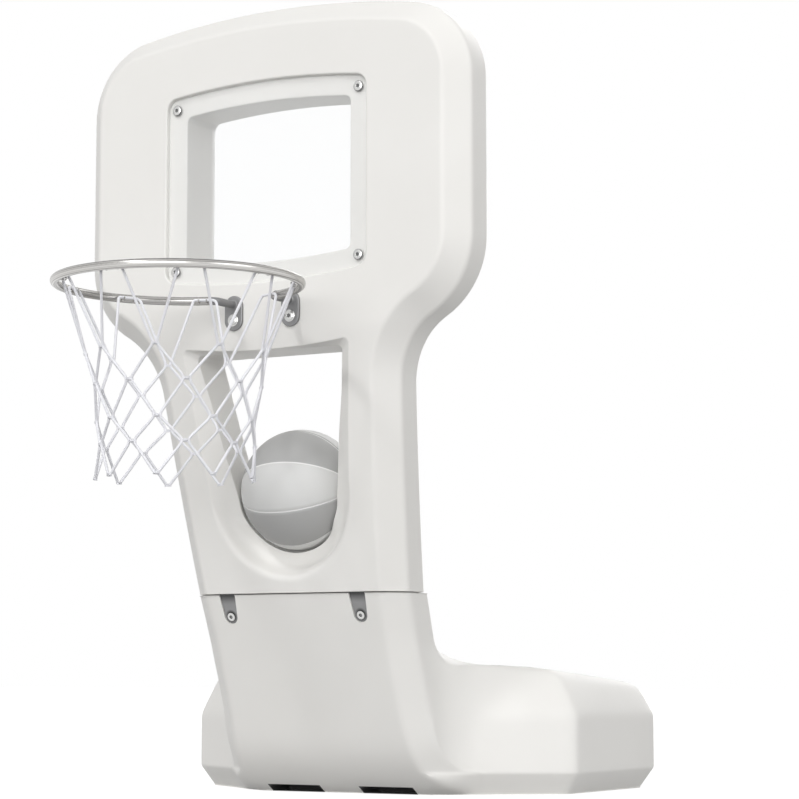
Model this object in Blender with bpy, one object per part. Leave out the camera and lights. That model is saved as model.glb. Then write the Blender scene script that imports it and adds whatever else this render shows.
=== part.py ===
"""Poolside basketball hoop: a hollow moulded backboard and column that plugs into a water-filled base.

Metres, +Z up, the front faces -Y, X = 0 is the plane of symmetry.
The origin is on the floor, in the middle of the underside of the base.
"""

import math

import bmesh
import bpy
from mathutils import Matrix, Vector

# Heights of the whole hoop
BOARD_TOP = 1.503
SEAM = 0.383
SEAM_GAP = 0.002
LOWER_TOP = SEAM - SEAM_GAP
BEND_TOP = 0.870
BEND_SOFTNESS = 0.010

# Front face of the board, measured from the origin
FACE_Y = -0.575

# Backboard and column outline
BOARD_HALF = 0.429
BOARD_DEPTH = 0.139
EDGE_BEVEL = 0.041
EDGE_ROUND = 0.010
TOP_RADIUS = 1.8
CORNER_RADIUS = 0.150
NECK_ANGLE = math.radians(60)
COLUMN_TAPER = 0.0837
WAIST_X = 0.2690
WAIST_Z = 0.768
NECK_RADIUS = 0.153
WALL = 0.0045

# Lean of the column's front face below the bend
LEAN_SLOPE = 0.167
LEAN_CURVE = 0.085

# Window in the backboard
WINDOW_Z = 1.1617
WINDOW_HALF_W = 0.226
WINDOW_HALF_H = 0.1948
WINDOW_BOW = 1.6
WINDOW_CORNER = 0.024
LEDGE_W = 0.041
LEDGE_DEPTH = 0.012
LEDGE_CORNER = 0.012
TUNNEL_END = 0.098
FLARE_BEND = (0.024, 0.010)
REAR_FLARE = 0.034
PANE_THICK = 0.004
PANE_SCREW_X = 0.206
PANE_SCREW_Z = 0.1593
PANE_GAP = 0.001
PANE_WASHER_R = 0.0105
PANE_WASHER_HIGH = 0.0010

# Ball and the opening that holds it
BALL_RADIUS = 0.116
BALL_Z = 0.581
BALL_DEPTH = 0.0846
BALL_WALL = 0.004
SEAT_GAP = 0.0010
SEAT_TOP = 0.80
VALVE_R = 0.0042
VALVE_LONG = 0.008

# Ball opening in the face, at its neck and in the rear: half width of the top edge, its height,
# its sag, half width where the bowl starts, the height there and the lowest point
OPENING_FRONT = (0.186, 0.8485, 0.011, 0.158, 0.588, 0.406)
OPENING_NECK = (0.162, 0.8275, 0.0, 0.106, 0.600, 0.476)
OPENING_REAR = (0.186, 0.8485, 0.0, 0.150, 0.600, 0.430)
OPENING_CORNER = 0.010
NECK_NEAR = 0.013
NECK_FAR = 0.105
NECK_DEEPER = 0.057
NECK_DEEPER_FROM = 0.723
NECK_DEEPER_SPAN = 0.17

# Rim, brackets and net
RIM_Z = 0.9265
RIM_REACH = 0.2747
RIM_RADIUS = 0.2205
RIM_TUBE = 0.008
BRACKET_X = 0.0637
BRACKET_SCREW_Z = 0.8966
PLATE_W = 0.040
PLATE_TOP_Z = 0.944
PLATE_THICK = 0.005
PLATE_EDGE = 0.0015
ARM_RADIUS = 0.0075
SQUARE_END = 0.001
BRACKET_WASHER_R = 0.0115
BRACKET_WASHER_HIGH = 0.0012
NET_LOOPS = 9
NET_CORD = 0.0052
NET_CLEAR = 0.0016
HOOK_WIRE = 0.0012
HOOK_TIP = 0.001
HOOK_SPREAD = 0.55
RIM_OPEN = math.radians(19.6)
HOOK_FROM_END = math.radians(0.8)
NET_ROWS = ((0.797, 0.164), (0.738, 0.150), (0.674, 0.1427), (0.631, 0.139), (0.574, 0.144))
NET_PHASE = math.radians(-8.6)
LOOP_HALF_ANGLE = math.radians(5.9)

# Base
BASE_HALF = 0.438
BASE_REAR = 0.275
BASE_WALL = 0.005
BAND_LOW = 0.041
BAND_HIGH = 0.145
FOOT_INSET = 0.030
HOLLOW_RADIUS = 0.120
DIAGONAL_TURN = math.radians(54.2)
SIDE_CORNER = 0.030
REAR_CORNER = 0.075
OUTLINE_START = (0.2375, -0.345)
TOP_NEAR = 0.2475
TOP_FALL = 0.07
TOP_FALL_FROM = -0.195
EDGE_IN = 0.048
EDGE_POWER = 1.25
SWEEP_TOP = 0.290
SWEEP_REACH = 0.135
SWEEP_POWER = 2.0
LOWER_SLOPE = 0.37
TOE_START = 0.13
TOE_CURVE = 26.0
FRONT_BEVEL = 0.039
SIDE_DEPTH = 0.070
LOWER_FACE_HALF = 0.197
LOWER_HALF = 0.2366
COLLAR_SPAN = 0.10
COLLAR_FACE = 0.006
COLLAR_EDGE = 0.0025
SPREAD_FROM = 0.20
SPREAD_FACE = 0.60
SPREAD_EDGE = 0.50
CURL_FROM = 0.045
TANK_TOP = 0.292
WATER_LEVEL = 0.200
WATER_CLEAR = 0.0045
NOTCH_X = 0.105
NOTCH_HALF = 0.055
NOTCH_HIGH = 0.014
NOTCH_REAR = -0.215

# Joint between the two mouldings
SPIGOT_HALF = 0.170
SPIGOT_FRONT = FACE_Y + 0.1425
SPIGOT_REAR = FACE_Y + 0.220
SPIGOT_LOW = 0.304
SPIGOT_CLEAR = 0.001
BOSS_R = 0.0105
PANE_BOSS_DEEP = 0.034
BRACKET_BOSS_DEEP = 0.024
VENT_R = 0.006
TAB_X = 0.146
TAB_SCREW_Z = 0.3406
TAB_TOP_W = 0.030
TAB_LOW_W = 0.024
TAB_THICK = 0.002
TAB_RECESS = 0.0045
TAB_TONGUE = 0.020

# Filler and drain, two sizes of one screwed port
FILL_Y = 0.045
DRAIN_Z = 0.092
PORT_REACH = 0.2
THREAD_CLEAR = 0.0018
FILLER = {
    "well": 0.044,
    "sunk": 0.014,
    "neck": 0.029,
    "neck_long": 0.030,
    "bore": 0.0235,
    "lip": 0.033,
    "lip_high": 0.0025,
    "seal_high": 0.0016,
    "thread_long": 0.020,
    "head": 0.0355,
    "head_top": 0.0140,
    "chamfer": 0.0015,
    "brim": 0.0040,
    "dish": 0.0285,
    "dish_floor": 0.0100,
    "sides": 20,
}
DRAIN = {
    "well": 0.030,
    "sunk": 0.009,
    "neck": 0.018,
    "neck_long": 0.022,
    "bore": 0.0135,
    "lip": 0.021,
    "lip_high": 0.0020,
    "seal_high": 0.0014,
    "thread_long": 0.015,
    "head": 0.0230,
    "head_top": 0.0086,
    "chamfer": 0.0010,
    "brim": 0.0030,
    "dish": 0.0180,
    "dish_floor": 0.0065,
    "sides": 16,
}

# Small clearance between touching pieces
GAP = 0.0003

SCREW_HEAD_R = 0.0090
SCREW_HEAD_H = 0.0042
SCREW_R = 0.0030
SCREW_LONG = 0.020
SEAM_SCREW_LONG = 0.017
SOCKET_R = 0.0030
SOCKET_DEEP = 0.0026
WASHER_BORE = 0.0036
INSERT_R = 0.0055
INSERT_LEN = 0.014
INSERT_SUNK = 0.0012

FRONT = Vector((0, -1, 0))
BACK = Vector((0, 1, 0))
UP = Vector((0, 0, 1))
SIDES = {"left": -1, "right": 1}

COLOURS = {
    "moulded_shell": ((0.82, 0.82, 0.80), 0.45, 0.0),
    "clear_pane": ((0.93, 0.95, 0.95), 0.05, 0.0),
    "screw_steel": ((0.75, 0.75, 0.74), 0.25, 1.0),
    "rim_steel": ((0.62, 0.61, 0.60), 0.30, 1.0),
    "bracket_steel": ((0.24, 0.24, 0.24), 0.40, 0.8),
    "insert_brass": ((0.70, 0.55, 0.25), 0.35, 1.0),
    "washer_nylon": ((0.30, 0.30, 0.30), 0.50, 0.0),
    "net_cord": ((0.86, 0.86, 0.90), 0.80, 0.0),
    "ball_rubber": ((0.50, 0.50, 0.49), 0.55, 0.0),
    "cap_plastic": ((0.30, 0.30, 0.30), 0.50, 0.0),
    "seal_rubber": ((0.05, 0.05, 0.05), 0.80, 0.0),
    "water": ((0.55, 0.70, 0.78), 0.10, 0.0),
}


# General helpers


def clear_scene():
    for item in list(bpy.data.objects):
        bpy.data.objects.remove(item, do_unlink=True)


def material(name):
    found = bpy.data.materials.get(name)
    if found:
        return found
    colour, roughness, metallic = COLOURS[name]
    made = bpy.data.materials.new(name)
    made.use_nodes = True
    shader = made.node_tree.nodes["Principled BSDF"]
    shader.inputs["Base Color"].default_value = (*colour, 1.0)
    shader.inputs["Roughness"].default_value = roughness
    shader.inputs["Metallic"].default_value = metallic
    made.diffuse_color = (*colour, 1.0)
    return made


def add_object(name, bm, slot=None, smooth=35.0):
    bmesh.ops.recalc_face_normals(bm, faces=bm.faces)
    mesh = bpy.data.meshes.new(name)
    bm.to_mesh(mesh)
    bm.free()
    made = bpy.data.objects.new(name, mesh)
    bpy.context.collection.objects.link(made)
    if slot:
        mesh.materials.append(material(slot))
        mesh.shade_smooth()
        mesh.set_sharp_from_angle(angle=math.radians(smooth))
    else:
        made.hide_render = True
        made.display_type = "WIRE"
    return made


def boolean(target, cutter, operation="DIFFERENCE"):
    modifier = target.modifiers.new("cut", "BOOLEAN")
    modifier.operation = operation
    modifier.solver = "EXACT"
    modifier.object = cutter
    depsgraph = bpy.context.evaluated_depsgraph_get()
    result = bpy.data.meshes.new_from_object(target.evaluated_get(depsgraph))
    target.modifiers.remove(modifier)
    spent = target.data
    target.data = result
    bpy.data.meshes.remove(spent)
    bpy.data.objects.remove(cutter, do_unlink=True)


def loft(loops):
    """Closed solid through loops of equal length, with a cap on the first and the last."""
    bm = bmesh.new()
    rows = [[bm.verts.new(point) for point in loop] for loop in loops]
    for low, high in zip(rows, rows[1:]):
        for i in range(len(low)):
            j = (i + 1) % len(low)
            bm.faces.new((low[i], low[j], high[j], high[i]))
    bm.faces.new(list(reversed(rows[0])))
    bm.faces.new(rows[-1])
    return bm


def cylinder(radius, start, end, segments=24):
    """Round bar from one point to another."""
    start = Vector(start)
    end = Vector(end)
    along = end - start
    bm = bmesh.new()
    bmesh.ops.create_cone(
        bm,
        cap_ends=True,
        segments=segments,
        radius1=radius,
        radius2=radius,
        depth=along.length,
    )
    turn = UP.rotation_difference(along.normalized()).to_matrix().to_4x4()
    place = Matrix.Translation((start + end) / 2) @ turn
    bmesh.ops.transform(bm, matrix=place, verts=bm.verts)
    return bm


def box(low, high):
    bm = bmesh.new()
    bmesh.ops.create_cube(bm, size=1.0)
    low = Vector(low)
    high = Vector(high)
    bmesh.ops.scale(bm, vec=high - low, verts=bm.verts)
    bmesh.ops.translate(bm, vec=(low + high) / 2, verts=bm.verts)
    return bm


def turned(profile, origin=(0, 0, 0), axis=(0, 0, 1), segments=24):
    """Closed profile of (radius, height) pairs turned round an axis through origin."""
    bm = bmesh.new()
    corners = [bm.verts.new((radius, 0, height)) for radius, height in profile]
    edges = [bm.edges.new((corners[i], corners[(i + 1) % len(corners)])) for i in range(len(corners))]
    touching = [edge for edge in edges if not all(abs(vert.co.x) < 1e-9 for vert in edge.verts)]
    for edge in edges:
        if edge not in touching:
            bm.edges.remove(edge)
    bmesh.ops.spin(
        bm,
        geom=corners + touching,
        cent=(0, 0, 0),
        axis=(0, 0, 1),
        angle=2 * math.pi,
        steps=segments,
        use_merge=True,
    )
    bmesh.ops.remove_doubles(bm, verts=bm.verts, dist=1e-6)
    turn = UP.rotation_difference(Vector(axis).normalized()).to_matrix().to_4x4()
    bmesh.ops.transform(bm, matrix=Matrix.Translation(origin) @ turn, verts=bm.verts)
    return bm


def join(parts):
    """Several separate bodies in one bmesh."""
    whole = bmesh.new()
    for part in parts:
        mesh = bpy.data.meshes.new("part")
        part.to_mesh(mesh)
        part.free()
        whole.from_mesh(mesh)
        bpy.data.meshes.remove(mesh)
    return whole


def arc(centre, radius, start, end, steps):
    """Points of an arc, both ends included, from angle start to angle end."""
    return [
        (
            centre[0] + radius * math.cos(start + (end - start) * i / steps),
            centre[1] + radius * math.sin(start + (end - start) * i / steps),
        )
        for i in range(steps + 1)
    ]


def smoothstep(value):
    value = min(max(value, 0.0), 1.0)
    return value * value * (3 - 2 * value)


# Front faces of the two mouldings


def upper_lean(z):
    """How far the upper moulding's front face has leaned back at a height."""
    below = BEND_TOP - z
    eased = (below + math.hypot(below, BEND_SOFTNESS)) / 2
    return LEAN_SLOPE * eased + LEAN_CURVE * eased * eased


def lower_front(z, wall=0.0):
    """Y of the lower moulding's front face, which curls under at the toe, or of its inner side."""
    toe = max(0.0, TOE_START - z)
    slope = LOWER_SLOPE + 3 * TOE_CURVE * toe**2
    outside = FACE_Y + upper_lean(SEAM) + LOWER_SLOPE * (SEAM - z) + TOE_CURVE * toe**3
    return outside + wall * math.hypot(1, slope)


def lean_mesh(target, levels):
    """Cut a straight solid at some heights, then lean it back."""
    bm = bmesh.new()
    bm.from_mesh(target.data)
    for level in levels:
        everything = bm.verts[:] + bm.edges[:] + bm.faces[:]
        bmesh.ops.bisect_plane(bm, geom=everything, dist=1e-6, plane_co=(0, 0, level), plane_no=UP)
    for vert in bm.verts:
        vert.co.y += upper_lean(vert.co.z)
    bmesh.ops.triangulate(bm, faces=bm.faces)
    bm.to_mesh(target.data)
    bm.free()


# Upper moulding


def board_outline(inset):
    """Outline of board and column in X and Z, drawn in by an inset, from the foot on the right and round."""
    taper = math.atan(COLUMN_TAPER)
    foot_z = SEAM - 0.06
    foot_x = WAIST_X - COLUMN_TAPER * (WAIST_Z - foot_z)
    points = [(foot_x, foot_z, taper)]
    hollow = (WAIST_X + NECK_RADIUS * math.cos(taper), WAIST_Z - NECK_RADIUS * math.sin(taper))
    steps = 5
    for i in range(steps + 1):
        heading = taper + (NECK_ANGLE - taper) * i / steps
        x = hollow[0] - NECK_RADIUS * math.cos(heading)
        z = hollow[1] + NECK_RADIUS * math.sin(heading)
        points.append((x, z, heading))
    turn_x, turn_z, _ = points[-1]
    hip_radius = (BOARD_HALF - turn_x) / (1 - math.cos(NECK_ANGLE))
    hip_z = turn_z + hip_radius * math.sin(NECK_ANGLE)
    for i in range(1, steps + 1):
        heading = NECK_ANGLE * (1 - i / steps)
        x = BOARD_HALF - hip_radius * (1 - math.cos(heading))
        z = hip_z - hip_radius * math.sin(heading)
        points.append((x, z, heading))
    corner_x = BOARD_HALF - CORNER_RADIUS
    crown_z = BOARD_TOP - TOP_RADIUS
    corner_z = crown_z + math.sqrt((TOP_RADIUS - CORNER_RADIUS) ** 2 - corner_x**2)
    corner_end = math.atan2(corner_z - crown_z, corner_x)
    steps = 6
    for i in range(steps + 1):
        around = corner_end * i / steps
        x = corner_x + CORNER_RADIUS * math.cos(around)
        z = corner_z + CORNER_RADIUS * math.sin(around)
        points.append((x, z, -around))
    steps = 3
    for i in range(1, steps + 1):
        around = corner_end + (math.pi / 2 - corner_end) * i / steps
        points.append((TOP_RADIUS * math.cos(around), crown_z + TOP_RADIUS * math.sin(around), -around))
    right = [(x - inset * math.cos(heading), z + inset * math.sin(heading)) for x, z, heading in points]
    left = [(-x, z) for x, z in reversed(right[:-1])]
    return right + left


def board_profile(shrink):
    """Inset and depth pairs over the edge of the board, with softened creases."""
    corners = [(EDGE_BEVEL, 0), (0, EDGE_BEVEL), (0, BOARD_DEPTH - EDGE_BEVEL), (EDGE_BEVEL, BOARD_DEPTH)]
    soft = EDGE_ROUND * 0.414
    side = soft / math.sqrt(2)
    if shrink:
        slant = shrink * math.tan(math.pi / 8)
        return [
            (EDGE_BEVEL + slant, shrink),
            (shrink, EDGE_BEVEL + slant),
            (shrink, BOARD_DEPTH - EDGE_BEVEL - slant),
            (EDGE_BEVEL + slant, BOARD_DEPTH - shrink),
        ]
    front, near, far, rear = corners
    return [
        (front[0] + soft, 0),
        (front[0] - side, side),
        (side, near[1] - side),
        (0, near[1] + soft),
        (0, far[1] - soft),
        (side, far[1] + side),
        (rear[0] - side, BOARD_DEPTH - side),
        (rear[0] + soft, BOARD_DEPTH),
    ]


def board_solid(shrink):
    loops = []
    for inset, depth in board_profile(shrink):
        loops.append([(x, FACE_Y + depth, z) for x, z in board_outline(inset)])
    return loft(loops)


def bowed_rectangle(half_w, half_h, corner):
    """Window outline: upright sides, top and bottom bowed outwards, rounded corners."""
    bow_z = WINDOW_Z + half_h - WINDOW_BOW
    inner_x = half_w - corner
    inner_z = bow_z + math.sqrt((WINDOW_BOW - corner) ** 2 - inner_x**2)
    corner_end = math.atan2(inner_z - bow_z, inner_x)
    quarter = arc((inner_x, inner_z), corner, 0, corner_end, 4)
    quarter += arc((0, bow_z), WINDOW_BOW, corner_end, math.pi / 2, 3)[1:]
    upper = quarter + [(-x, z) for x, z in reversed(quarter[:-1])]
    lower = [(-x, 2 * WINDOW_Z - z) for x, z in upper]
    return upper + lower


def window_solid(grow):
    inner_w = WINDOW_HALF_W - LEDGE_W
    inner_h = WINDOW_HALF_H - LEDGE_W + 0.001
    past = 0.02
    bend_depth, bend_flare = FLARE_BEND
    rows = [
        (WINDOW_HALF_W, WINDOW_HALF_H, WINDOW_CORNER, -past),
        (WINDOW_HALF_W, WINDOW_HALF_H, WINDOW_CORNER, LEDGE_DEPTH + grow),
    ]
    tunnel = [
        (0.0, LEDGE_DEPTH + grow),
        (0.0, TUNNEL_END),
        (bend_flare, TUNNEL_END + bend_depth),
        (REAR_FLARE, BOARD_DEPTH),
        (REAR_FLARE, BOARD_DEPTH + past),
    ]
    for flare, depth in tunnel:
        rows.append((inner_w + flare, inner_h + flare, LEDGE_CORNER + flare, depth))
    loops = []
    for half_w, half_h, corner, depth in rows:
        ring = bowed_rectangle(half_w + grow, half_h + grow, corner + grow)
        loops.append([(x, FACE_Y + depth, z) for x, z in ring])
    return loft(loops)


def ball_outline(opening, grow):
    """Outline of the ball opening: straight leaning sides over a half-ellipse, top edge bowed down."""
    top_half, top_z, sag, hip_half, hip_z, low_z = opening
    top_half += grow
    top_z += grow
    hip_half += grow
    low_z -= grow
    corner = OPENING_CORNER
    side_steps = 4
    bowl_steps = 14
    right = []
    for i in range(3):
        share = i / 3
        right.append((share * (top_half - corner), top_z - sag * (1 - share**2)))
    right += arc((top_half - corner, top_z - corner), corner, math.pi / 2, 0, 3)
    for i in range(1, side_steps):
        share = i / side_steps
        x = top_half + (hip_half - top_half) * share
        right.append((x, top_z - corner + (hip_z - top_z + corner) * share))
    for i in range(bowl_steps // 2 + 1):
        around = math.pi / 2 * i / (bowl_steps // 2)
        right.append((hip_half * math.cos(around), hip_z - (hip_z - low_z) * math.sin(around)))
    left = [(-x, z) for x, z in reversed(right[1:-1])]
    return right + left


def ball_tunnel(grow):
    """The opening as a solid: soft flare in front, neck round the ball, flare behind."""
    front = ball_outline(OPENING_FRONT, grow)
    neck = ball_outline(OPENING_NECK, grow)
    rear = ball_outline(OPENING_REAR, grow)
    past = 0.02

    def at(outline, depth):
        return [(x, FACE_Y + depth, z) for x, z in outline]

    def neck_depth(z):
        return NECK_NEAR + NECK_DEEPER * smoothstep((NECK_DEEPER_FROM - z) / NECK_DEEPER_SPAN)

    loops = [at(front, -past), at(front, 0.0)]
    loops.append([(x, FACE_Y + neck_depth(z), z) for x, z in neck])
    loops.append(at(neck, NECK_FAR))
    loops.append(at(rear, BOARD_DEPTH))
    loops.append(at(rear, BOARD_DEPTH + past))
    return loft(loops)


def ball_centre():
    return Vector((0, FACE_Y + upper_lean(BALL_Z) + BALL_DEPTH, BALL_Z))


def ball_path(radius):
    """Round-ended shaft that the ball sits in and lifts through."""
    centre = ball_centre()
    steps = 8
    profile = [(0, -radius)]
    for i in range(1, steps + 1):
        around = math.pi / 2 * i / steps
        profile.append((radius * math.sin(around), -radius * math.cos(around)))
    profile.append((radius, SEAT_TOP - BALL_Z))
    profile.append((0, SEAT_TOP - BALL_Z))
    return turned(profile, centre, UP, segments=32)


def spigot(shrink):
    low = (-SPIGOT_HALF + shrink, SPIGOT_FRONT + shrink, SPIGOT_LOW + shrink)
    high = (SPIGOT_HALF - shrink, SPIGOT_REAR - shrink, SEAM + 0.012)
    return box(low, high)


def tab_outline(grow):
    """Tapered slot with a round end, seen from the front, centred on X = 0."""
    low_r = TAB_LOW_W / 2 + grow
    mouth = TAB_TOP_W / 2 + grow
    return arc((0, TAB_SCREW_Z), low_r, math.pi, 2 * math.pi, 8) + [(mouth, LOWER_TOP), (-mouth, LOWER_TOP)]


def tab_slab(x_centre, grow, near, far):
    """Solid under the tapered outline, between two depths behind the sloping front face."""
    loops = []
    for depth in (near, far):
        loops.append([(x_centre + x, lower_front(z) + depth, z) for x, z in tab_outline(grow)])
    return loft(loops)


def tab_tongue(x_centre, grow):
    """Upright upper end of a tab, which slides into the upper moulding."""
    face = lower_front(LOWER_TOP)
    half = TAB_TOP_W / 2 + grow
    low = (x_centre - half, face + TAB_RECESS - TAB_THICK - GAP - grow, LOWER_TOP - 0.0005)
    high = (x_centre + half, face + TAB_RECESS - GAP + grow, LOWER_TOP + TAB_TONGUE + grow)
    return box(low, high)


# Lower moulding


def lower_plan(z, wall):
    """Front face half width, bevel edge half width and bevel edge Y at a height."""
    narrowed = smoothstep((SEAM - z) / COLLAR_SPAN)
    spread = max(0.0, SPREAD_FROM - z) ** 2
    face = LOWER_FACE_HALF - COLLAR_FACE * narrowed + SPREAD_FACE * spread
    edge = LOWER_HALF - COLLAR_EDGE * narrowed + SPREAD_EDGE * spread
    edge_y = lower_front(z) + FRONT_BEVEL
    corner = wall * math.tan(math.pi / 8)
    return face - corner, edge - wall, edge_y + corner


def base_segments():
    """Right half of the base's plan as (length, turn): hollow, diagonal, corner, side, corner, rear."""
    hollow = HOLLOW_RADIUS * DIAGONAL_TURN
    hollow_x = OUTLINE_START[0] + HOLLOW_RADIUS * (1 - math.cos(DIAGONAL_TURN))
    hollow_y = OUTLINE_START[1] + HOLLOW_RADIUS * math.sin(DIAGONAL_TURN)
    corner_y = hollow_y + (BASE_HALF - hollow_x) / math.tan(DIAGONAL_TURN)
    lead = SIDE_CORNER * math.tan(DIAGONAL_TURN / 2)
    diagonal = (BASE_HALF - hollow_x) / math.sin(DIAGONAL_TURN) - lead
    side = BASE_REAR - REAR_CORNER - corner_y - lead
    return (
        (hollow, DIAGONAL_TURN),
        (diagonal, 0.0),
        (SIDE_CORNER * DIAGONAL_TURN, -DIAGONAL_TURN),
        (side, 0.0),
        (REAR_CORNER * math.pi / 2, -math.pi / 2),
        (BASE_HALF - REAR_CORNER, 0.0),
    )


def base_outline(run):
    """Point and heading, measured from +Y, after a run along the base's plan."""
    x, y = OUTLINE_START
    heading = 0.0
    for length, turn in base_segments():
        step = min(run, length)
        if turn:
            radius = length / turn
            ahead = heading + step / radius
            x += radius * (math.cos(heading) - math.cos(ahead))
            y += radius * (math.sin(ahead) - math.sin(heading))
            heading = ahead
        else:
            x += step * math.sin(heading)
            y += step * math.cos(heading)
        run -= step
        if run <= 0:
            break
    return Vector((x, y)), heading


def base_runs():
    """Runs along the base's plan of the stations that the rings share."""
    hollow, diagonal, corner, side, rear_corner, rear = [length for length, _ in base_segments()]
    runs = [0.0, hollow / 6, hollow * 0.37, hollow * 0.66, hollow]
    reached = hollow
    for length, parts in ((diagonal, 3), (corner, 2), (side, 3), (rear_corner, 4), (rear, 3)):
        runs += [reached + length * (i + 1) / parts for i in range(parts)]
        reached += length
    return runs


def inward(run):
    """Direction into the base from its plan, averaged so that corners do not pinch."""
    total = Vector((0, 0))
    for offset in (-0.06, -0.03, 0.0, 0.03, 0.06):
        _, heading = base_outline(max(0.0, run + offset))
        total += Vector((-math.cos(heading), math.sin(heading)))
    return total.normalized()


def column_station(z, index, last, wall):
    """Point of the column's plan that a station of the base's plan leads to."""
    face, edge, edge_y = lower_plan(z, wall)
    side_rear = lower_front(z) + FRONT_BEVEL + SIDE_DEPTH - 0.35 * wall
    rear = lower_front(z) + BOARD_DEPTH - 1.07 * wall
    if index <= 3:
        return Vector((edge, edge_y + (side_rear - edge_y) * index / 3))
    if index <= 8:
        return Vector((edge, side_rear)).lerp(Vector((face, rear)), (index - 3) / 5)
    return Vector((face * (1 - (index - 8) / (last - 8)), rear))


def top_path(index, last, run, wall):
    """Points over the base's top from the column out to the edge, square to the edge."""
    start = column_station(SWEEP_TOP, index, last, wall)
    inside = inward(run)
    end = base_outline(run)[0] + inside * wall
    span = (end - start).length
    eased = smoothstep((index - 3) / 2)
    leave = min(0.35 * span, 0.09) * eased
    arrive = min(0.35 * span, 0.08) * eased
    knots = (start, start + Vector((0, 1)) * leave, end + inside * arrive, end)
    steps = 16
    path = []
    for i in range(steps + 1):
        t = i / steps
        weights = ((1 - t) ** 3, 3 * t * (1 - t) ** 2, 3 * t * t * (1 - t), t**3)
        path.append(sum((knot * weight for knot, weight in zip(knots, weights)), Vector((0, 0))))
    return path


def along(path, run):
    for before, after in zip(path, path[1:]):
        length = (after - before).length
        if run <= length:
            return before.lerp(after, run / length)
        run -= length
    return path[-1].copy()


def base_top(y):
    return TOP_NEAR - TOP_FALL * max(0.0, y - TOP_FALL_FROM)


def front_row(z, wall):
    """Points across the right half of the front face and over the bevel's inner edge."""
    face, _, _ = lower_plan(z, wall)
    front = lower_front(z, wall)
    curl = max(0.0, 1 - z / CURL_FROM)
    flat = face - 0.018 - 0.010 * curl
    edge_x = face + 0.055 * curl * (1 - curl) + 0.012 * curl
    edge_y = front + 0.022 * curl**3
    spots = ((0, front), (flat / 2, front), (flat, front), (edge_x, edge_y))
    return [Vector((x, y, z)) for x, y in spots]


def sweep_rows(wall):
    """Rings from the column's foot over the top of the base and down to its upright band."""
    runs = base_runs()
    last = len(runs) - 1
    near_steps = (0.20, 0.45, 0.72, 1.0) if wall else (0.08, 0.22, 0.42, 0.68, 1.0)
    edge_steps = (1.0, 0.50, 0.15, 0.0) if wall else (1.0, 0.62, 0.32, 0.12, 0.0)
    total = len(near_steps) + len(edge_steps) + 1
    rows = []
    for row in range(1, total + 1):
        even_z = SWEEP_TOP + (BAND_HIGH - SWEEP_TOP) * row / total
        side = []
        for index, run in enumerate(runs):
            path = top_path(index, last, run, wall)
            length = sum((b - a).length for a, b in zip(path, path[1:]))
            reach = min(SWEEP_REACH, 0.6 * length)
            edge_in = min(EDGE_IN, 0.35 * length)
            if row <= len(near_steps):
                u = reach * near_steps[row - 1]
            elif row == len(near_steps) + 1:
                u = (reach + length - edge_in) / 2
            else:
                u = length - edge_in * edge_steps[row - len(near_steps) - 2]
            spot = along(path, u)
            top = base_top(spot.y) - wall
            fall = max(0.0, 1 - u / reach) ** SWEEP_POWER
            into = min(1.0, max(0.0, (u - length + edge_in) / edge_in))
            edge = (1 - into**EDGE_POWER) ** (1 / EDGE_POWER)
            shaped_z = BAND_HIGH + (top - BAND_HIGH) * edge + (SWEEP_TOP - top) * fall
            z = even_z + (shaped_z - even_z) * smoothstep((index - 1) / 3)
            side.append(Vector((spot.x, spot.y, z)))
        _, edge_x, edge_y = lower_plan(even_z, wall)
        side[0] = Vector((edge_x, edge_y, even_z))
        rows.append(front_row(even_z, wall) + side)
    return rows


def band_rows(wall):
    """Rings down the upright band, where the bevel's edge swings out, and over the foot's chamfer."""
    runs = base_runs()
    swings = ((0.115, 0.009), (0.090, 0.020), (0.064, 0.044), (0.046, 0.075), (BAND_LOW, 0.107))
    swings += ((0.020, 0.107), (wall, 0.107))
    chamfer = math.hypot(1, FOOT_INSET / BAND_LOW)
    rows = []
    for z, swing in swings:
        inset = FOOT_INSET * max(0.0, 1 - z / BAND_LOW)
        inset += wall * (chamfer if inset else 1.0)
        side = []
        for index, run in enumerate(runs):
            reached = max(run, swing + 0.012 * index)
            point = base_outline(reached)[0] + inward(reached) * inset
            side.append(Vector((point.x, point.y, z)))
        side[-1].x = 0.0
        rows.append(front_row(z, wall) + side)
    return rows


def tank_solid(wall=0.0):
    """Lower moulding without its fittings, or with a wall the space inside it."""
    last = len(base_runs()) - 1
    rows = []
    for z in (LOWER_TOP, 0.335, SWEEP_TOP):
        stations = [column_station(z, index, last, wall) for index in range(last + 1)]
        rows.append(front_row(z, wall) + [Vector((p.x, p.y, z)) for p in stations])
    rows += sweep_rows(wall) + band_rows(wall)
    loops = []
    for row in rows:
        loops.append(row + [Vector((-p.x, p.y, p.z)) for p in reversed(row[1:-1])])
    return loft(loops)


def tank_space(wall, roof):
    """The space inside the tank, cut off flat at a height."""
    bm = tank_solid(wall)
    cut = bmesh.ops.bisect_plane(
        bm,
        geom=bm.verts[:] + bm.edges[:] + bm.faces[:],
        plane_co=(0, 0, roof),
        plane_no=UP,
        clear_outer=True,
    )
    rim = [item for item in cut["geom_cut"] if isinstance(item, bmesh.types.BMEdge)]
    bmesh.ops.edgeloop_fill(bm, edges=rim)
    return bm


def notch(side, grow):
    """Hand hold under the front lip of the base."""
    low = (side * NOTCH_X - NOTCH_HALF - grow, FACE_Y + 0.15, -0.01)
    high = (side * NOTCH_X + NOTCH_HALF + grow, NOTCH_REAR + grow, NOTCH_HIGH + grow)
    return box(low, high)


def ports():
    """Each port's size, the middle of its well's floor and the direction out of it."""
    filler = Vector((0, FILL_Y, base_top(FILL_Y) - FILLER["sunk"]))
    drain = Vector((0, BASE_REAR - DRAIN["sunk"], DRAIN_Z))
    return (FILLER, filler, UP), (DRAIN, drain, BACK)


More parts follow.
